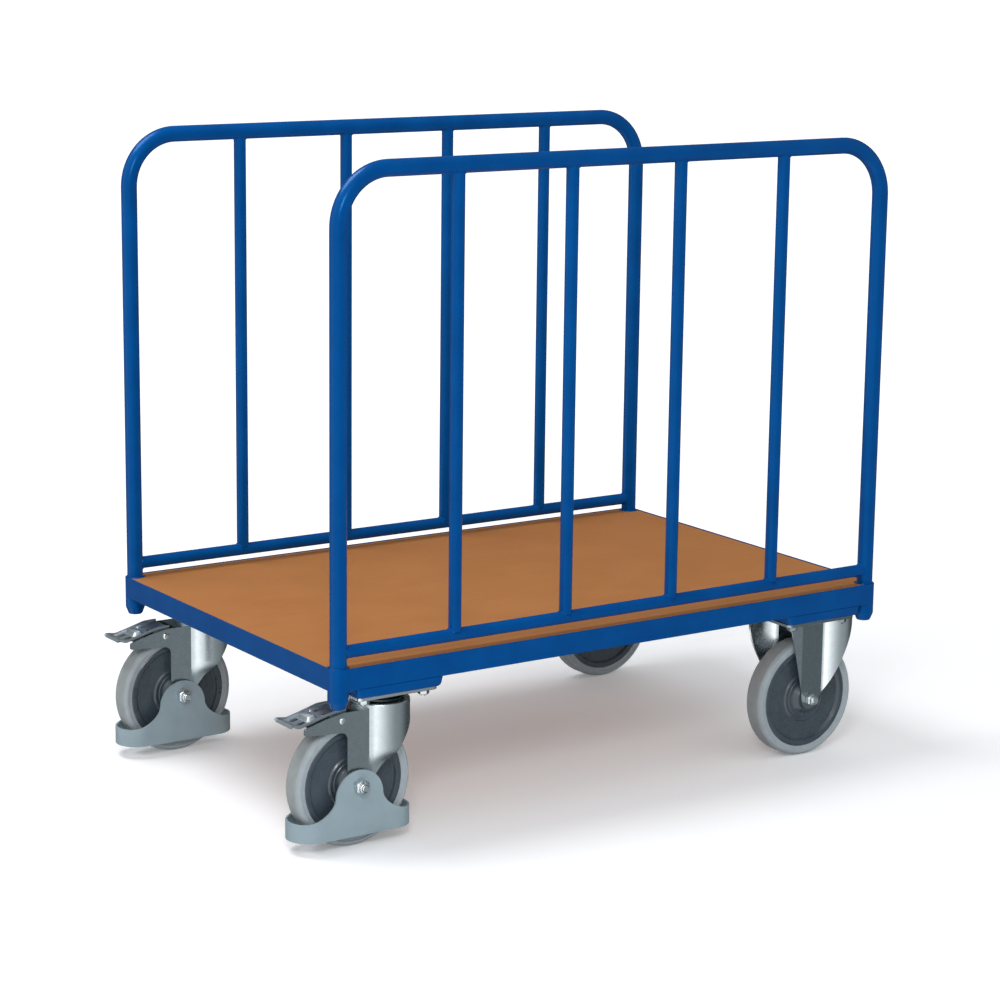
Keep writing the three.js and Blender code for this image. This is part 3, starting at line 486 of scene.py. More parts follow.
def buildFrame():
    # A bent section (depth from the outer face, height under the deck) is drawn out to both ends, along x at the sides
    # and along y at the ends. It ends square as far in as the middle of the sleeve and goes on at 45 degrees from there.
    inner = member["width"] + member["ledge"]
    line = [
        (inner, -member["ledgeDrop"]), (member["width"], -member["ledgeDrop"]),
        (member["width"], -member["height"]), (0, -member["height"]), (0, 0),
    ]
    line = roundCorners(line, member["fold"])
    section = np.vstack([line, offsetLine(line, -member["sheet"])[::-1]])
    for node, sign in (("side_near", -1), ("side_far", 1), ("end_swivel", -1), ("end_fixed", 1)):
        kind, which = node.split("_")
        half, across = (halfLength, halfDepth) if kind == "side" else (halfDepth, halfLength)
        end = half - np.maximum(section[:, 0], sleeve["radius"])
        side, z = sign * (across - section[:, 0]), deckTop + section[:, 1]
        rings = []
        for place in (-end, end):
            ring = np.column_stack([place, side, z] if kind == "side" else [side, place, z])
            rings.append(ring + frameMiddle)
        addPiece(f"deckFrame_{which}", [loft(rings)], blue, [f"frame_{node}"], edge=member["edge"])


# a wall line of how far in and how high, from the rim down and in under the floor
pan = {"wall": [(0, 15.8), (0, 0.01), (12, 0)], "round": 6, "lean": 4, "corner": 8, "leastCorner": 2}


def buildPans():
    # A pressed tray: rounded rectangles whose ends lean in on the way down, and a rounded edge to its floor.
    low, high = reach("castor_pan_swivel_near")
    halfX, halfY = (high[0] - low[0]) / 2, (high[1] - low[1]) / 2
    height = pan["wall"][0][1]
    rings = []
    for inwards, z in roundCorners(pan["wall"], pan["round"], 6):
        leaning = pan["lean"] * (height - z) / height
        corner = max(pan["corner"] - inwards, pan["leastCorner"])
        rings.append(spread(roundedRectangle(halfX - leaning - inwards, halfY - inwards, corner), "z", z))
    for end in ("swivel", "fixed"):
        for side in ("near", "far"):
            node = f"castor_pan_{end}_{side}"
            place = middle(node)
            place[2] = reach(node)[0][2]
            addPiece(f"castorPan_{end}_{side}", [loft(rings)], blue, [node], place)


hoop = {
    "tube": 13, "bend": 83, "bar": 10, "bars": 4, "tubeSides": 48, "barSides": 40,
    "sink": 57,  # how far the posts reach down below the deck
    # how deep the rail's ends lie in the posts, and how far from the rail's and the top's middle line a bar ends
    "railSink": 3, "barFoot": 6, "barHead": 8,
    "hair": 0.01,  # more than the rail's radius, for the bead at a bar's foot
}


def buildHoops():
    # Each hoop is a circle carried up one post, round two bends and down the other post. Rail and bars are straight.
    thick, thin = hoop["tube"], hoop["bar"]
    for side in ("near", "far"):
        node = f"side_hoop_{side}"
        low, high = reach(node)
        y = (low[1] + high[1]) / 2
        start, end, top = low[0] + thick, high[0] - thick, high[2] - thick
        foot = deckTop - hoop["sink"]
        line = roundCorners([(start, foot), (start, top), (end, top), (end, foot)], hoop["bend"], 20)
        patches = [tube(line, y, thick, hoop["tubeSides"])]
        for x in (start, end):
            patches.append(weldBead((x, y, deckTop), thick, 0, (0, 0, 1), (1, 0, 0)))
        addPiece(f"hoop_{side}", patches, blue, [node])
        rail = middle(f"lower_rail_{side}")[2]
        inset = thick - hoop["railSink"]
        line = [(start + inset, rail), (end - inset, rail)]
        patches = [tube(line, y, thin, hoop["barSides"])]
        for x, out in ((start, 1), (end, -1)):
            patches.append(weldBead((x, y, rail), thin, thick, (out, 0, 0), (0, 0, 1)))
        addPiece(f"lowerRail_{side}", patches, blue, [f"lower_rail_{side}"])
        for i in range(1, hoop["bars"] + 1):
            node = f"bar_{side}_{i}"
            x = middle(node)[0]
            line = [(x, rail + hoop["barFoot"]), (x, top - hoop["barHead"])]
            patches = [
                tube(line, y, thin, hoop["barSides"]),
                weldBead((x, y, rail), thin, thin + hoop["hair"], (0, 0, 1), (1, 0, 0)),
                weldBead((x, y, top), thin, thick, (0, 0, -1), (1, 0, 0)),
            ]
            addPiece(f"bar_{side}_{i}_tube", patches, blue, [node])


buildFrame()
buildSleeves()
buildPans()
buildHoops()
dress("load_board", board)
dress("deck_cross_member", blue)
print("deck and hoops made")

# half profiles of radius and distance from the wheel's middle plane, with the roundings of their corners
wheel = {
    "radius": 100, "steps": 128, "sharp": 50,
    # bore, side with a moulded step, rounded shoulder and slightly crowned tread
    "tyre": [(84, 0), (84, 16.9), (85, 17.5), (90, 18.3), (91.2, 19.5), (95, 19.1), (99.6, 13.5), (100, 0)],
    "tyreRounds": [0.4, 0.8, 1.5, 0.8, 2.5, 8],
    # hub, boss with a ring-shaped groove, dished web and outer ring
    "rim": [
        (10.4, 0), (10.4, 25.4), (21, 25.4), (26, 17.5), (29, 16), (33, 16), (34, 15), (36.5, 15), (37.5, 16),
        (40, 16), (42.5, 13.5), (72.7, 12), (75.7, 17.1), (82.2, 17.5), (83.7, 16.5), (83.7, 0),
    ],
    "rimRounds": [0.4, 2, 2, 2, 0.6, 0.4, 0.4, 0.6, 0.8, 1.2, 1.8, 1.0, 0.6, 0.3],
    # the tread's colour comes in over the shoulder: from how far under the tread, and over what height
    "treadFrom": 3, "treadOver": 2,
}


def wheelPatches(half):
    # a half profile and its mirror image, carried round the axle
    return [turned(np.vstack([half, (half * (1, -1))[::-1]]), "y", wheel["steps"], closed=True)]


def treadShare(x, y, z):
    # grows from 0 on the tyre's side to 1 on its tread, over the shoulder
    return np.clip((np.hypot(x, z) - wheel["radius"] + wheel["treadFrom"]) / wheel["treadOver"], 0, 1)


def buildWheel(name, axle, body):
    # the tyre with its tread's colour, and the rim inside it
    tyre = wheelPatches(roundCorners(wheel["tyre"], wheel["tyreRounds"], 5)[:-1])
    rim = wheelPatches(roundCorners(wheel["rim"], wheel["rimRounds"], 4)[1:-1])
    tread = addPiece(f"{name}_tread", tyre, tyreRubber, [f"{name}_tyre"], axle, body, sharp=wheel["sharp"])
    mark(tread, "tread", treadShare, axle)
    addPiece(f"{name}_wheelCentre", rim, rimPlastic, [f"{name}_rim"], axle, body, sharp=wheel["sharp"])


plate = {
    "length": 140, "width": 110, "thick": 5, "corner": 8, "edge": 0.5, "pitchX": 105, "pitchY": 80,
    "low": 136.4,  # over the axle
    "bolt": 5, "thread": 1.5, "tail": 4, "across": 16, "nut": 6.5,
    # the washer's profile of radius and height
    "washer": [(0, 0.1), (9.5, 0.1), (9.5, -1.2), (9, -1.6), (0, -1.6)],
}


def platePatches(x=0):
    # a rounded plate with a softened edge, and a washer, a nut and the end of its bolt under each corner
    low, edge = plate["low"], plate["edge"]
    high = low + plate["thick"]
    rings = []
    for inset, z in ((edge, low), (0, low + edge), (0, high - edge), (edge, high)):
        halfX, halfY = plate["length"] / 2 - inset, plate["width"] / 2 - inset
        rings.append(spread(roundedRectangle(halfX, halfY, plate["corner"]), "z", z))
    patches = [loft(np.array(rings) + (x, 0, 0))]
    washer = np.array(plate["washer"]) + (0, low)
    nutTop = washer[-1][1]
    nutLow = nutTop - plate["nut"]
    for signX, signY in ((-1, -1), (1, -1), (1, 1), (-1, 1)):
        centre = (x + signX * plate["pitchX"] / 2, signY * plate["pitchY"] / 2, 0)
        patches += [
            turned(washer, "z", 40, centre),
            hexagon(plate["across"], "z", nutLow, nutTop, centre, both=False),
            threaded(plate["bolt"], plate["thread"], "z", low - 2, low - plate["nut"] - plate["tail"], centre),
        ]
    return patches


bolt = {
    "near": 0.62,  # the hexagon's share of the near nut's height
    "coneHead": 0.44, "coneFoot": 0.47,  # the cone's radii as shares of the width over the flats
    "hole": 6.3, "radius": 5.8, "thread": 1.75, "sunk": 3, "tail": 1.4, "far": 7.5, "seat": 0.1,
    "coneRounds": [0.2, 0.5, 0.8, 0.5, 0.3, 0.2, 0.1],
}


def boltPatches(grip, across, height):
    # Axle bolt: on the near side a lock nut, a hexagon that goes over into a cone round the thread's end, and on the
    # far side a hexagon head. The grip is the distance of the clamped faces from the wheel's middle plane.
    flat, hole = height * bolt["near"], bolt["hole"]
    inner, outer = across * bolt["coneHead"], across * bolt["coneFoot"]
    cone = [
        (0, flat - 1.5), (outer, flat - 1.5), (outer, flat), (inner, flat + 0.9), (hole + 1.6, height - 0.5),
        (hole + 1, height), (hole, height), (hole - 0.2, height - 2.5), (0, height - 2.5),
    ]
    cone = roundCorners(cone, bolt["coneRounds"], 3) * (1, -1) - (0, grip)
    return [
        hexagon(across, "y", -grip - bolt["seat"], -grip - flat),
        turned(cone, "y", 64),
        threaded(bolt["radius"], bolt["thread"], "y", -grip - height + bolt["sunk"], -grip - height - bolt["tail"]),
        hexagon(across, "y", grip + bolt["seat"], grip + bolt["far"]),
    ]


# The swivel castor's fork, in millimetres from the axle. The low edge of a leg is round to the foot's place and then
# straight to the far one. The crown is round about the offset and swells between the two heights foot and full.
fork = {
    "sheet": 3, "edge": 0.9, "leg": 29, "legHalf": 17, "footX": 13.02, "footZ": -10.93, "farX": 102, "farZ": 96,
    "crownTop": 122, "offset": 56, "radius": 46, "shoulder": 2.6, "hole": 8, "foot": 22, "full": 52,
    "armTip": -91, "tipTop": 99, "tipLow": 88.5, "tipRound": 3.5, "armRoot": -29, "armLow": 84.5, "armCorner": 12,
    "kneeX": -54, "kneeZ": 109.5, "shoulderX": -24, "armTop": 115, "soft": 4, "roofFrom": -8,
    # a painted highlight on the crown: how strong, from which place on, and over what length it comes in
    "shine": 0.55, "shineFrom": 23, "shineOver": 4,
}


def cutEdge(x, size):
    # low edge of a leg: a half circle round the axle, and from the foot's place on a straight line to the far place
    half = size["legHalf"]
    foot = -np.sqrt(np.maximum(half**2 - np.clip(x, -half, half) ** 2, 0))
    slope = (size["farZ"] - size["footZ"]) / (size["farX"] - size["footX"])
    return np.where(x < size["footX"], foot, size["footZ"] + (x - size["footX"]) * slope)


def tipInset(x):
    # how far the arm's edges are drawn in near its tip, by the circle that rounds it
    radius = fork["tipRound"]
    inner = np.clip(radius - (x - fork["armTip"]), 0, radius)
    return radius - np.sqrt(radius**2 - inner**2)


def armLow(x):
    # a straight line from tip to root, then a quarter circle down into the leg
    line = np.interp(x, [fork["armTip"], fork["armRoot"]], [fork["tipLow"], fork["armLow"]])
    corner = fork["armCorner"]
    drop = corner - np.sqrt(np.maximum(corner**2 - np.clip(x - fork["armRoot"], 0, corner) ** 2, 0))
    return line - drop + tipInset(x)


def armHigh(x):
    # from the tip over a knee to the shoulder, with softened corners
    places = [fork["armTip"], fork["kneeX"], fork["shoulderX"]]
    return smoothLine(x, places, [fork["tipTop"], fork["kneeZ"], fork["armTop"]], fork["soft"]) - tipInset(x)


def bulge(halfWidth, z):
    # The crown swells out of the flat legs: past the legs' plane it keeps a share that grows with height.
    share = np.clip((z - fork["foot"]) / (fork["full"] - fork["foot"]), 0, 1)
    share = share * share * (3 - 2 * share)
    over = np.maximum(halfWidth - fork["leg"], 0)
    return halfWidth - over * (1 - share)


def forkWall(x, halfWidth, low, high, rows):
    # the wall over a line in plan: rows at even heights between its low and high edge
    z = low + (high - low) * np.linspace(0, 1, rows)[:, None]
    return surface(x, bulge(halfWidth, z), z)


def swivelForkPatches():
    # The wall runs along a line in plan (leg, crease, round crown) and up from the cut edge to the rim. The
    # crown's rim turns in over a quarter round and closes over the top towards the swivel's axis.
    centre, radius, leg, half = fork["offset"], fork["radius"], fork["leg"], fork["legHalf"]
    creaseX = centre - np.sqrt(radius**2 - leg**2)
    tipX = fork["armTip"] + fork["tipRound"] * (1 - np.cos(quarterTurn(6)))
    rootX = fork["armRoot"] + fork["armCorner"] * np.sin(quarterTurn(8))
    armX = np.concatenate([tipX[:-1], np.linspace(tipX[-1], fork["armRoot"], 15), rootX[1:]])
    legX = np.concatenate([-half * np.cos(quarterTurn(12)), np.linspace(0, creaseX, 10)[1:]])
    angle = np.linspace(np.pi - np.arcsin(leg / radius), 0, 40)
    crownX, crownY = centre + radius * np.cos(angle), radius * np.sin(angle)

    # the flat side: arm and leg over the height where they part, and the leg under it
    upperX = np.concatenate([armX, legX[1:]])
    part = fork["armLow"] - fork["armCorner"]
    parting = np.concatenate([armLow(armX), np.full(len(legX) - 1, part)])
    upper = forkWall(upperX, leg, parting, armHigh(upperX), 8)
    lower = forkWall(legX, leg, cutEdge(legX, fork), np.full(len(legX), part), 14)

    # the rim as radius and height: a quarter round, then flat in to the hole
    shoulder, top = fork["shoulder"], fork["crownTop"]
    bend = quarterTurn(7)[1:]
    rimRadius = np.concatenate([radius - shoulder * (1 - np.cos(bend)), [radius * 0.6, radius * 0.3, fork["hole"]]])
    rimHeight = np.concatenate([top - shoulder * (1 - np.sin(bend)), [top, top, top]])

    def cap(theta):
        # rows of the rim over the given angles
        r = rimRadius[:, None]
        return surface(centre + r * np.cos(theta), r * np.sin(theta), rimHeight[:, None])

    # the crown in front, and the part of it behind the legs, which starts at the arms' height over the axle
    armOverAxle = float(armHigh(np.array([0.0]))[0])
    low = cutEdge(crownX, fork)
    step = np.maximum(part, low + 4)
    crownLow = forkWall(crownX, crownY, low, step, 14)
    crownHigh = forkWall(crownX, crownY, step, np.full(len(low), armOverAxle), 8)
    crown = np.concatenate([crownLow, crownHigh[1:], surface(crownX, crownY, [[top - shoulder]]), cap(angle)])
    behind = np.linspace(angle[0], turn - angle[0], 17)
    behindX, behindY = centre + radius * np.cos(behind), radius * np.sin(behind)
    behindWall = surface(behindX, behindY, [[armOverAxle], [top - shoulder]])
    patches = []
    for sign in (-1, 1):
        for points in (upper, lower, crown):
            points = points * (1, sign, 1)
            patches.append(grid(points if sign == -1 else points[:, ::-1]))
    patches.append(grid(np.concatenate([behindWall, cap(behind)])))

    # the roof between the legs, behind the crown: its rows start at the same places as the legs' columns
    rows = legX[legX > fork["roofFrom"]]
    t = ((rows - rows[0]) / (creaseX - rows[0]))[:, None]
    patches.append(grid(surface(rows[0] + t * (behindX - rows[0]), behindY, armOverAxle)))
    return patches


def crownShare(x, y, z):
    # 0 on the flat legs, and the painted highlight's strength on the crown
    return fork["shine"] * np.clip((x - fork["shineFrom"]) / fork["shineOver"], 0, 1)


# the pedal, in millimetres from the axle
pedal = {
    "sheet": 2.5, "half": 23, "fold": 1.5, "pinX": -25.5, "pinZ": 103, "ear": 9, "edge": 0.4,
    # the tray's upper face and the upper edge of its sides, seen from the side of the castor
    "tray": [(-18, 117), (-48, 113), (-97, 101.6), (-109.5, 107.6), (-112, 102.5)], "bends": [30, 9, 1.4],
    "rim": [(-112, 104), (-109, 108), (-92, 105.6), (-68, 111.8), (-54, 115.6), (-40, 119.6), (-24, 120.2), (-18, 120)],
    # slots, as their first and last place along and across the tray
    "slots": [(-93, -79, 6, 15), (-93, -79, -15, -6), (-52, -45, 8, 14), (-52, -45, -14, -8)],
    # pad and ribs: first and last place, half width, slope, height and corner
    "pad": (-80, -60, 17, 3.5, 5.5, 5), "rib": (-57, -34, 2.2, 0.8, 1.8, 2), "ribY": 18,
    "earTop": [(-19, 116), (-46, 111.5)],
    # the rivet's radius and its head's profile of radius and height
    "pin": 4, "pinHead": [(0, 0), (5.6, 0), (5.6, 0.6), (4.6, 1.5), (2.6, 2.0), (0, 2.1)],
}


def pinPatches():
    # a rivet across the arms with a low domed head at each end
    y = fork["leg"] + 0.2
    patches = [turned([(pedal["pin"], -y), (pedal["pin"], y)], "y", 32)]
    for sign in (-1, 1):
        patches.append(turned([(r, sign * (y + h)) for r, h in pedal["pinHead"]], "y", 40))
    return [(points + (pedal["pinX"], 0, pedal["pinZ"]), faces) for points, faces in patches]


def pedalPatches():
    # The inner face of a tray along its line, with both sides folded up to the rim and slots left open in its floor.
    line = roundCorners(pedal["tray"], pedal["bends"], 8)
    cuts = np.array(pedal["slots"], float)
    length = np.concatenate([[0], np.cumsum(np.linalg.norm(np.diff(line, axis=0), axis=1))])
    along = np.interp(cuts[:, :2].ravel(), line[:, 0][::-1], length[::-1])
    places = np.unique(np.round(np.concatenate([length, np.arange(0, length[-1], 2.5), along]), 3))
    x, z = np.interp(places, length, line[:, 0]), np.interp(places, length, line[:, 1])
    rimX, rimZ = np.array(pedal["rim"]).T
    rise = np.maximum(smoothLine(x, rimX, rimZ, 3) - z, 0.6)
    half, fold = pedal["half"], pedal["fold"]
    flat = np.unique(np.concatenate([np.linspace(0, half - fold, 12), np.abs(cuts[:, 2:]).ravel()]))
    bend = quarterTurn(6)[1:]
    # half a section: the floor, a quarter round of the fold's size (lower where the side is low), and the side
    y = np.concatenate([flat, half - fold + fold * np.sin(bend), [half]])
    share = np.concatenate([np.zeros(len(flat)), 1 - np.cos(bend), [1]])
    up = share * np.minimum(rise, fold)[:, None]
    up[:, -1] = np.maximum(rise, np.minimum(rise, fold) + 0.1)
    section = np.concatenate([-y[:0:-1], y])
    up = np.concatenate([up[:, :0:-1], up], axis=1)
    points, faces = grid(surface(x[:, None], section, z[:, None] + up))
    centres = points[np.array(faces)].mean(axis=1)
    gone = np.zeros(len(faces), bool)
    for x0, x1, y0, y1 in cuts:
        gone |= (centres[:, 0] > x0) & (centres[:, 0] < x1) & (centres[:, 1] > y0) & (centres[:, 1] < y1)
    return [(points, [face for face, cut in zip(faces, gone) if not cut])]


def raised(x0, x1, halfY, slope, high, corner):
    # a rounded rectangle lofted up from the tray's floor, drawn in over its slope and its softened edge
    floorX, floorZ = np.array(pedal["tray"])[::-1].T
    half = np.array([(x1 - x0) / 2, halfY])
    outline = roundedRectangle(*half, corner, 5)
    rings = []
    for inwards, up in ((0, -1.2), (0, 0.1), (slope, high - 0.5), (slope + 0.8, high)):
        ring = outline * (1 - inwards / half) + ((x0 + x1) / 2, 0)
        rings.append(np.column_stack([ring, np.interp(ring[:, 0], floorX, floorZ) + up]))
    return loft(rings)


def pedalPadPatches():
    # a raised pad with sloping sides over the tray's middle, two low ribs behind it, and the ears round the pin
    patches = [raised(*pedal["pad"])]
    for y in (-pedal["ribY"], pedal["ribY"]):
        rib, faces = raised(*pedal["rib"])
        patches.append((rib + (0, y, 0), faces))
    angle = np.arange(20, 40) / 40 * turn  # the lower half of a circle
    ear = np.column_stack([np.cos(angle), np.sin(angle)]) * pedal["ear"] + (pedal["pinX"], pedal["pinZ"])
    ear = np.vstack([ear, pedal["earTop"]])
    for sign in (-1, 1):
        ends = sorted((sign * pedal["half"], sign * (pedal["half"] + pedal["sheet"])))
        patches.append(loft([spread(ear, "y", end) for end in ends]))
    return patches


# the foot guard, in millimetres from the axle: a ring with straight sides, and a bell on each side up to the axle
guard = {
    "wall": 3, "edge": 0.7, "half": 36, "reach": 103, "low": -78.5, "ring": -49.5, "bell": 41, "waist": -16.5,
    "flare": 95, "boss": 17, "bossSteps": 48,
    # the flare's four pulls, as shares of the way out from bell to flare and down from waist to ring
    "pulls": [(0, 0), (0.04, 0.42), (0.39, 0.95), (1, 1)],
}


def guardPatches():
    # A wall round a long rounded ring in plan. Its top edge is low round both ends and, along each side, runs up a
    # flare (a cubic curve) to the round top of the bell over the axle.
    bell, waist, ring, half = guard["bell"], guard["waist"], guard["ring"], guard["half"]
    pulls = np.array(guard["pulls"]) * (guard["flare"] - bell, ring - waist) + (bell, waist)
    t = np.linspace(0, 1, 22)[1:, None]
    weights = np.hstack([(1 - t)**3, 3 * (1 - t)**2 * t, 3 * (1 - t) * t**2, t**3])
    angle = quarterTurn(20)
    top = np.column_stack([bell * np.sin(angle), waist + bell * np.cos(angle)])
    sideX, sideZ = np.vstack([top, weights @ pulls]).T
    straight = guard["reach"] - half
    sideY = np.sqrt(half**2 - np.maximum(sideX - straight, 0)**2)
    quarter = np.column_stack([sideX, sideY, sideZ])
    last = np.arccos(np.clip((guard["flare"] - straight) / half, -1, 1))
    angle = np.linspace(last, -last, 24)[1:-1]
    end = np.column_stack([straight + half * np.cos(angle), half * np.sin(angle), np.full(len(angle), ring)])
    first = np.vstack([quarter, end, quarter[::-1] * (1, -1, 1)])
    loop = np.vstack([first, first[::-1][1:-1] * (-1, 1, 1)])
    rows = np.linspace(0, 1, 16)[:, None]
    z = guard["low"] + (loop[:, 2] - guard["low"]) * rows
    return [grid(surface(loop[:, 0], loop[:, 1], z), wrapColumns=True)]


def guardBossPatches():
    # a disc on each side between the fork's leg and the guard's wall
    patches = []
    for sign in (-1, 1):
        low, high = sign * (fork["leg"] + 0.3), sign * (guard["half"] - 1)
        profile = [(0, low), (guard["boss"], low), (guard["boss"], high), (0, high)]
        patches.append(turned(profile, "y", guard["bossSteps"]))
    return patches


# the race's profile of radius and height, over its low place over the axle
race = {
    "low": 122.3, "steps": 96, "rounds": [0.8, 0.6, 0.5, 0.5, 0.5, 0.5, 0.6],
    "profile": [(8, 0), (36, 0), (38, 1.5), (38, 4.6), (34, 5.6), (34, 9), (38, 9.6), (38, 13.8), (8, 13.8)],
}


def racePatches():
    # two turned lips with a dark groove between them
    profile = roundCorners(race["profile"], race["rounds"], 4) + (0, race["low"])
    return [turned(profile, "z", race["steps"], (fork["offset"], 0, 0), closed=True)]


swivelBolt = {"grip": 36.1, "across": 21, "height": 17}


def buildSwivelCastor(side):
    name, body, pedalBody = f"swivel_{side}", f"swivel_castor_{side}", f"pedal_{side}"
    axle = middle(f"{name}_tyre")
    # name, patches, material, the CAD node that it stands for, body, wall and edge
    parts = [
        ("topPlate", platePatches(fork["offset"]), highlightZinc, "plate", "trolley", 0, 0),
        ("ballRace", racePatches(), shadedRaceSteel, "race", "trolley", 0, 0),
        ("pressedFork", swivelForkPatches(), zinc, "fork", body, fork["sheet"], fork["edge"]),
        ("axleBolt", boltPatches(**swivelBolt), highlightZinc, "axle_bolt", body, 0, 0),
        ("rivet", pinPatches(), highlightZinc, "pedal_pin", body, 0, 0),
        ("guardWall", guardPatches(), guardPlastic, "foot_guard", body, guard["wall"], guard["edge"]),
        ("guardBoss", guardBossPatches(), guardPlastic, "", body, 0, 0),
        ("pedalTray", pedalPatches(), satinZinc, "brake_pedal", pedalBody, pedal["sheet"], pedal["edge"]),
        ("pedalPad", pedalPadPatches(), satinZinc, "", pedalBody, 0, pedal["edge"]),
    ]
    for part, patches, material, node, rides, wall, edge in parts:
        nodes = [f"{name}_{node}"] if node else []
        made = addPiece(f"{name}_{part}", patches, material, nodes, axle, rides, wall, edge)
        if part == "pressedFork":
            # the crown gets its painted highlight, a near-white colour
            mark(made, "paintedHighlight", crownShare, axle)
    buildWheel(name, axle, f"swivel_wheel_{side}")


# The fixed castor's legs, in millimetres from the axle: a narrow flange, a flat leg and a wing round the offset, that
# ends where it is the wrap away from the middle. Its top is cut down a little from one place to its reach.
wing = {
    "sheet": 3, "edge": 0.9, "leg": 29, "legHalf": 17, "footX": 15.41, "footZ": -7.18, "farX": 95, "farZ": 133,
    "offset": 56, "radius": 43, "wrap": 12, "top": 138, "cutFrom": 70, "cutTop": 136.5, "cutEnd": 133.5,
    "shoulder": 19, "flange": 19, "flangeIn": 5, "flangeFoot": 18, "flangeTop": 136, "flangeBend": 1.9,
    # a painted highlight on the wings: from which place on, and over what length that comes in
    "shineFrom": 25, "shineOver": 3,
}
fixedBolt = {"grip": 29.1, "across": 18, "height": 14}


def wingPatches(sign):
    # The wall follows a line in plan (flange, flat leg, round wing) and stands between its cut edge and the plate.
    centre, radius, leg, half, shoulder = (wing[k] for k in ("offset", "radius", "leg", "legHalf", "shoulder"))
    crease = centre - np.sqrt(radius**2 - leg**2)
    angle = np.linspace(np.arcsin(leg / radius) - np.pi, -np.arcsin(wing["wrap"] / radius), 40)
    arc = np.column_stack([centre + radius * np.cos(angle), radius * np.sin(angle)])
    flatX = np.concatenate([-half * np.cos(quarterTurn(14)), np.linspace(0, crease, 12)[1:-1]])
    flat = np.column_stack([flatX, np.full(len(flatX), -float(leg))])
    bend = [(-shoulder - wing["flange"], wing["flangeIn"] - leg), (-shoulder, -leg), (-half, -leg)]
    x, y = np.vstack([roundCorners(bend, [wing["flangeBend"]], 6)[:-1], flat, arc]).T
    flange = wing["flangeFoot"] - (shoulder + x) * (wing["flangeTop"] - wing["flangeFoot"]) / (wing["flange"] + 3)
    heel = np.interp(x, [-shoulder, -half], [wing["flangeFoot"], 0])
    low = np.select([x < -shoulder, x < -half], [np.maximum(flange, 0), heel], cutEdge(x, wing))
    cut = np.interp(x, [wing["cutFrom"], wing["farX"]], [wing["cutTop"], wing["cutEnd"]])
    high = np.where(x > wing["cutFrom"], cut, wing["top"])
    low = np.minimum(low, high - 0.05)
    z = low + (high - low) * np.linspace(0, 1, 24)[:, None]
    return [grid(surface(x, y, z) * (-sign, -sign, 1))]


def wingShare(x, y, z):
    # the painted highlight: 0 on the flat legs, 1 on the wings at both ends
    return np.clip((np.abs(x) - wing["shineFrom"]) / wing["shineOver"], 0, 1) * (x * y < 0)


def buildFixedCastor(side):
    # two wings, one the other turned by half a turn, under a plate
    name = f"fixed_{side}"
    axle = middle(f"{name}_tyre")
    for face, sign in (("front", -1), ("rear", 1)):
        patches, wall, edge = wingPatches(sign), wing["sheet"], wing["edge"]
        made = addPiece(f"{name}_{face}Wing", patches, shadedZinc, (), axle, wall=wall, edge=edge)
        # the wings get their painted highlight, a near-white colour
        mark(made, "paintedHighlight", wingShare, axle)
    addPiece(f"{name}_topPlate", platePatches(), shadedZinc, [f"{name}_fork"], axle)
    addPiece(f"{name}_axleBolt", boltPatches(**fixedBolt), highlightZinc, [f"{name}_axle_bolt"], axle)
    buildWheel(name, axle, f"fixed_wheel_{side}")


for side in ("near", "far"):
    buildSwivelCastor(side)
    buildFixedCastor(side)
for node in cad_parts:
    if node.endswith(("kingpin", "axle_tube")):
        dress(node, zinc)
    if node.endswith("brake_shoe"):
        dress(node, shoeRubber)
print("castors made")

studio = {
    # the floor's reach, and its glow near the trolley and far from it, at two distances in metres
    "floor": "#f5f6f8", "floorReach": 40, "glow": (0.16, 0.6), "glowPlaces": (0.9, 3.5), "soft": 0.84, "mirror": 1.5,
    # how bright the studio looks in a mirror, once round from the left (-X) over the front, right and back
    "round": [
        (0.0, "#ffffff"), (0.12, "#ffffff"), (0.18, "#d8dcde"), (0.26, "#9ea4a7"), (0.33, "#787f82"), (0.4, "#70777a"),
        (0.5, "#363c3e"), (0.66, "#3a4042"), (0.82, "#50565a"), (0.88, "#8a9093"), (0.95, "#ffffff"),
    ],
    # how bright its soft light is, once round the same way
    "softRound": [
        (0.0, "#8e9092"), (0.13, "#f4f5f6"), (0.25, "#ffffff"), (0.5, "#e0e2e4"), (0.75, "#dcdee0"), (0.92, "#8e9092"),
    ],
    # lamps: place, where they look, diameter and power
    "lamps": {"left": ((-1.7, -2.35, 1.9), (0, 0, 0.4), 0.7, 25), "top": ((-1.25, 0.65, 3.0), (0, 0, 0.3), 1.8, 54)},
}


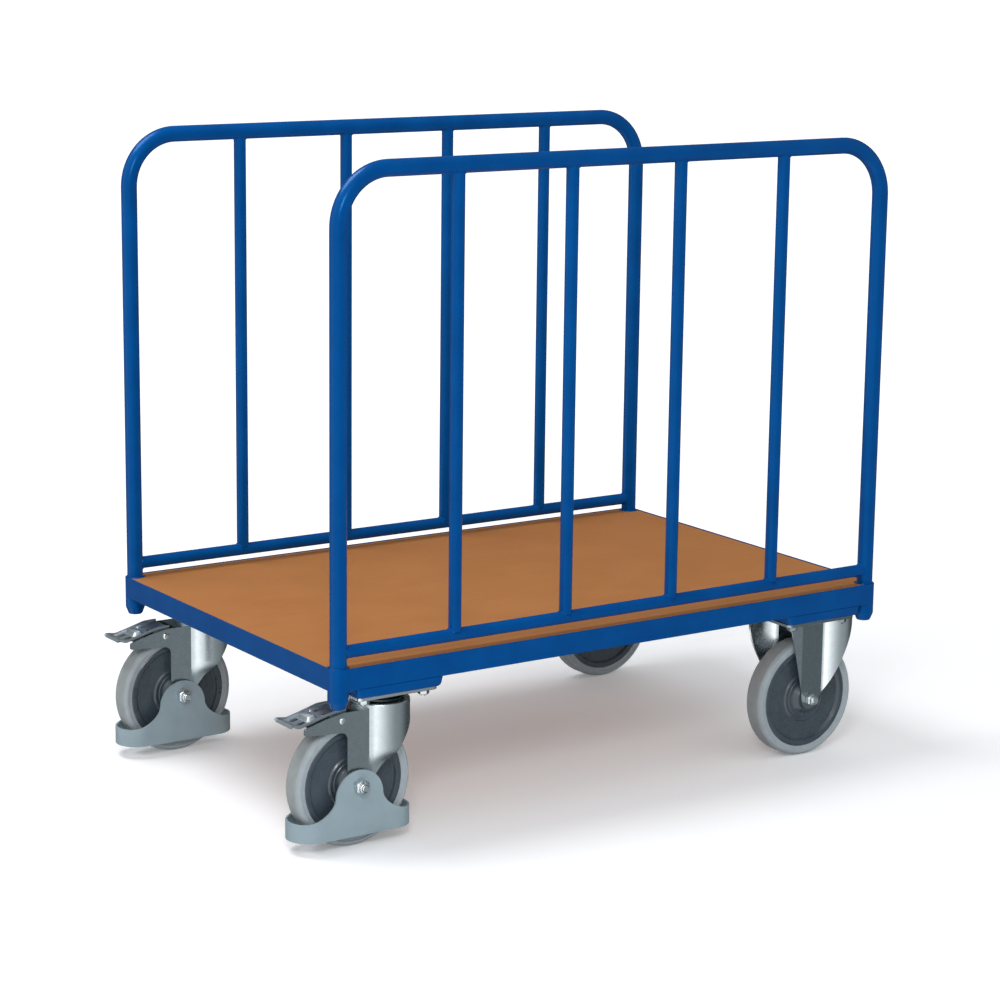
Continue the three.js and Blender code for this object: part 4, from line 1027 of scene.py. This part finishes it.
def buildFloor():
    # The floor shows a little light of its own to the camera, so it runs out into the white background.
    size = studio["floorReach"]
    mesh = bpy.data.meshes.new("floor")
    mesh.from_pydata([(-size, -size, 0), (size, -size, 0), (size, size, 0), (-size, size, 0)], [], [(0, 1, 2, 3)])
    floor = show("floor", mesh)
    values = {
        "Base Color": linear(studio["floor"]), "Emission Color": (1, 1, 1, 1),
        "Roughness": 0.9, "Specular IOR Level": 0.1,
    }
    material, tree, shader, place = startMaterial("paleFloor", values)
    far = addNode(tree, "ShaderNodeVectorMath", None, {0: place}, operation="LENGTH")["Value"]
    (start, end), (low, high) = studio["glowPlaces"], studio["glow"]
    ends = {"From Min": start, "From Max": end, "To Min": low, "To Max": high}
    bright = addNode(tree, "ShaderNodeMapRange", ends, {"Value": far})[0]
    seen = addNode(tree, "ShaderNodeLightPath")["Is Camera Ray"]
    glow = addNode(tree, "ShaderNodeMath", None, {0: seen, 1: bright}, operation="MULTIPLY")[0]
    tree.links.new(glow, shader.inputs["Emission Strength"])
    mesh.materials.append(material)
    floor.visible_glossy = False  # the bright and dark sides of the world stand there instead


def buildWorld():
    # White behind the trolley, soft light on it, and bright and dark sides round it that its metal mirrors.
    world = bpy.data.worlds.new("studio")
    bpy.context.scene.world = world
    world.use_nodes = True
    tree = world.node_tree
    output = next(n for n in tree.nodes if n.type == "OUTPUT_WORLD")
    rays = addNode(tree, "ShaderNodeLightPath")
    way = addNode(tree, "ShaderNodeTexCoord")["Generated"]
    around = addNode(tree, "ShaderNodeTexGradient", None, {"Vector": way}, gradient_type="RADIAL")["Fac"]
    light = {}
    for name, stops in (("mirror", studio["round"]), ("soft", studio["softRound"])):
        colour = addNode(tree, "ShaderNodeValToRGB", None, {"Fac": around}, stops)["Color"]
        light[name] = addNode(tree, "ShaderNodeBackground", {"Strength": studio[name]}, {"Color": colour})[0]
    white = addNode(tree, "ShaderNodeBackground", {"Color": (1, 1, 1, 1), "Strength": 1.0})[0]
    links = {0: rays["Is Glossy Ray"], 1: light["soft"], 2: light["mirror"]}
    lit = addNode(tree, "ShaderNodeMixShader", None, links)[0]
    seen = addNode(tree, "ShaderNodeMixShader", None, {0: rays["Is Camera Ray"], 1: lit, 2: white})[0]
    tree.links.new(seen, output.inputs["Surface"])


def buildLamps():
    # round area lamps, each with its back away from the place that it looks at
    for name, (place, target, width, watts) in studio["lamps"].items():
        data = bpy.data.lights.new(name, "AREA")
        data.shape, data.size, data.energy = "DISK", width, watts
        back = unit(np.array(place) - np.array(target))
        right = unit(np.cross((0, 0, 1), back))
        setDirections(show(name, data), right, np.cross(back, right), back, place)


buildFloor()
buildWorld()
buildLamps()
bpy.context.scene.view_settings.view_transform = "Standard"
print("studio made")
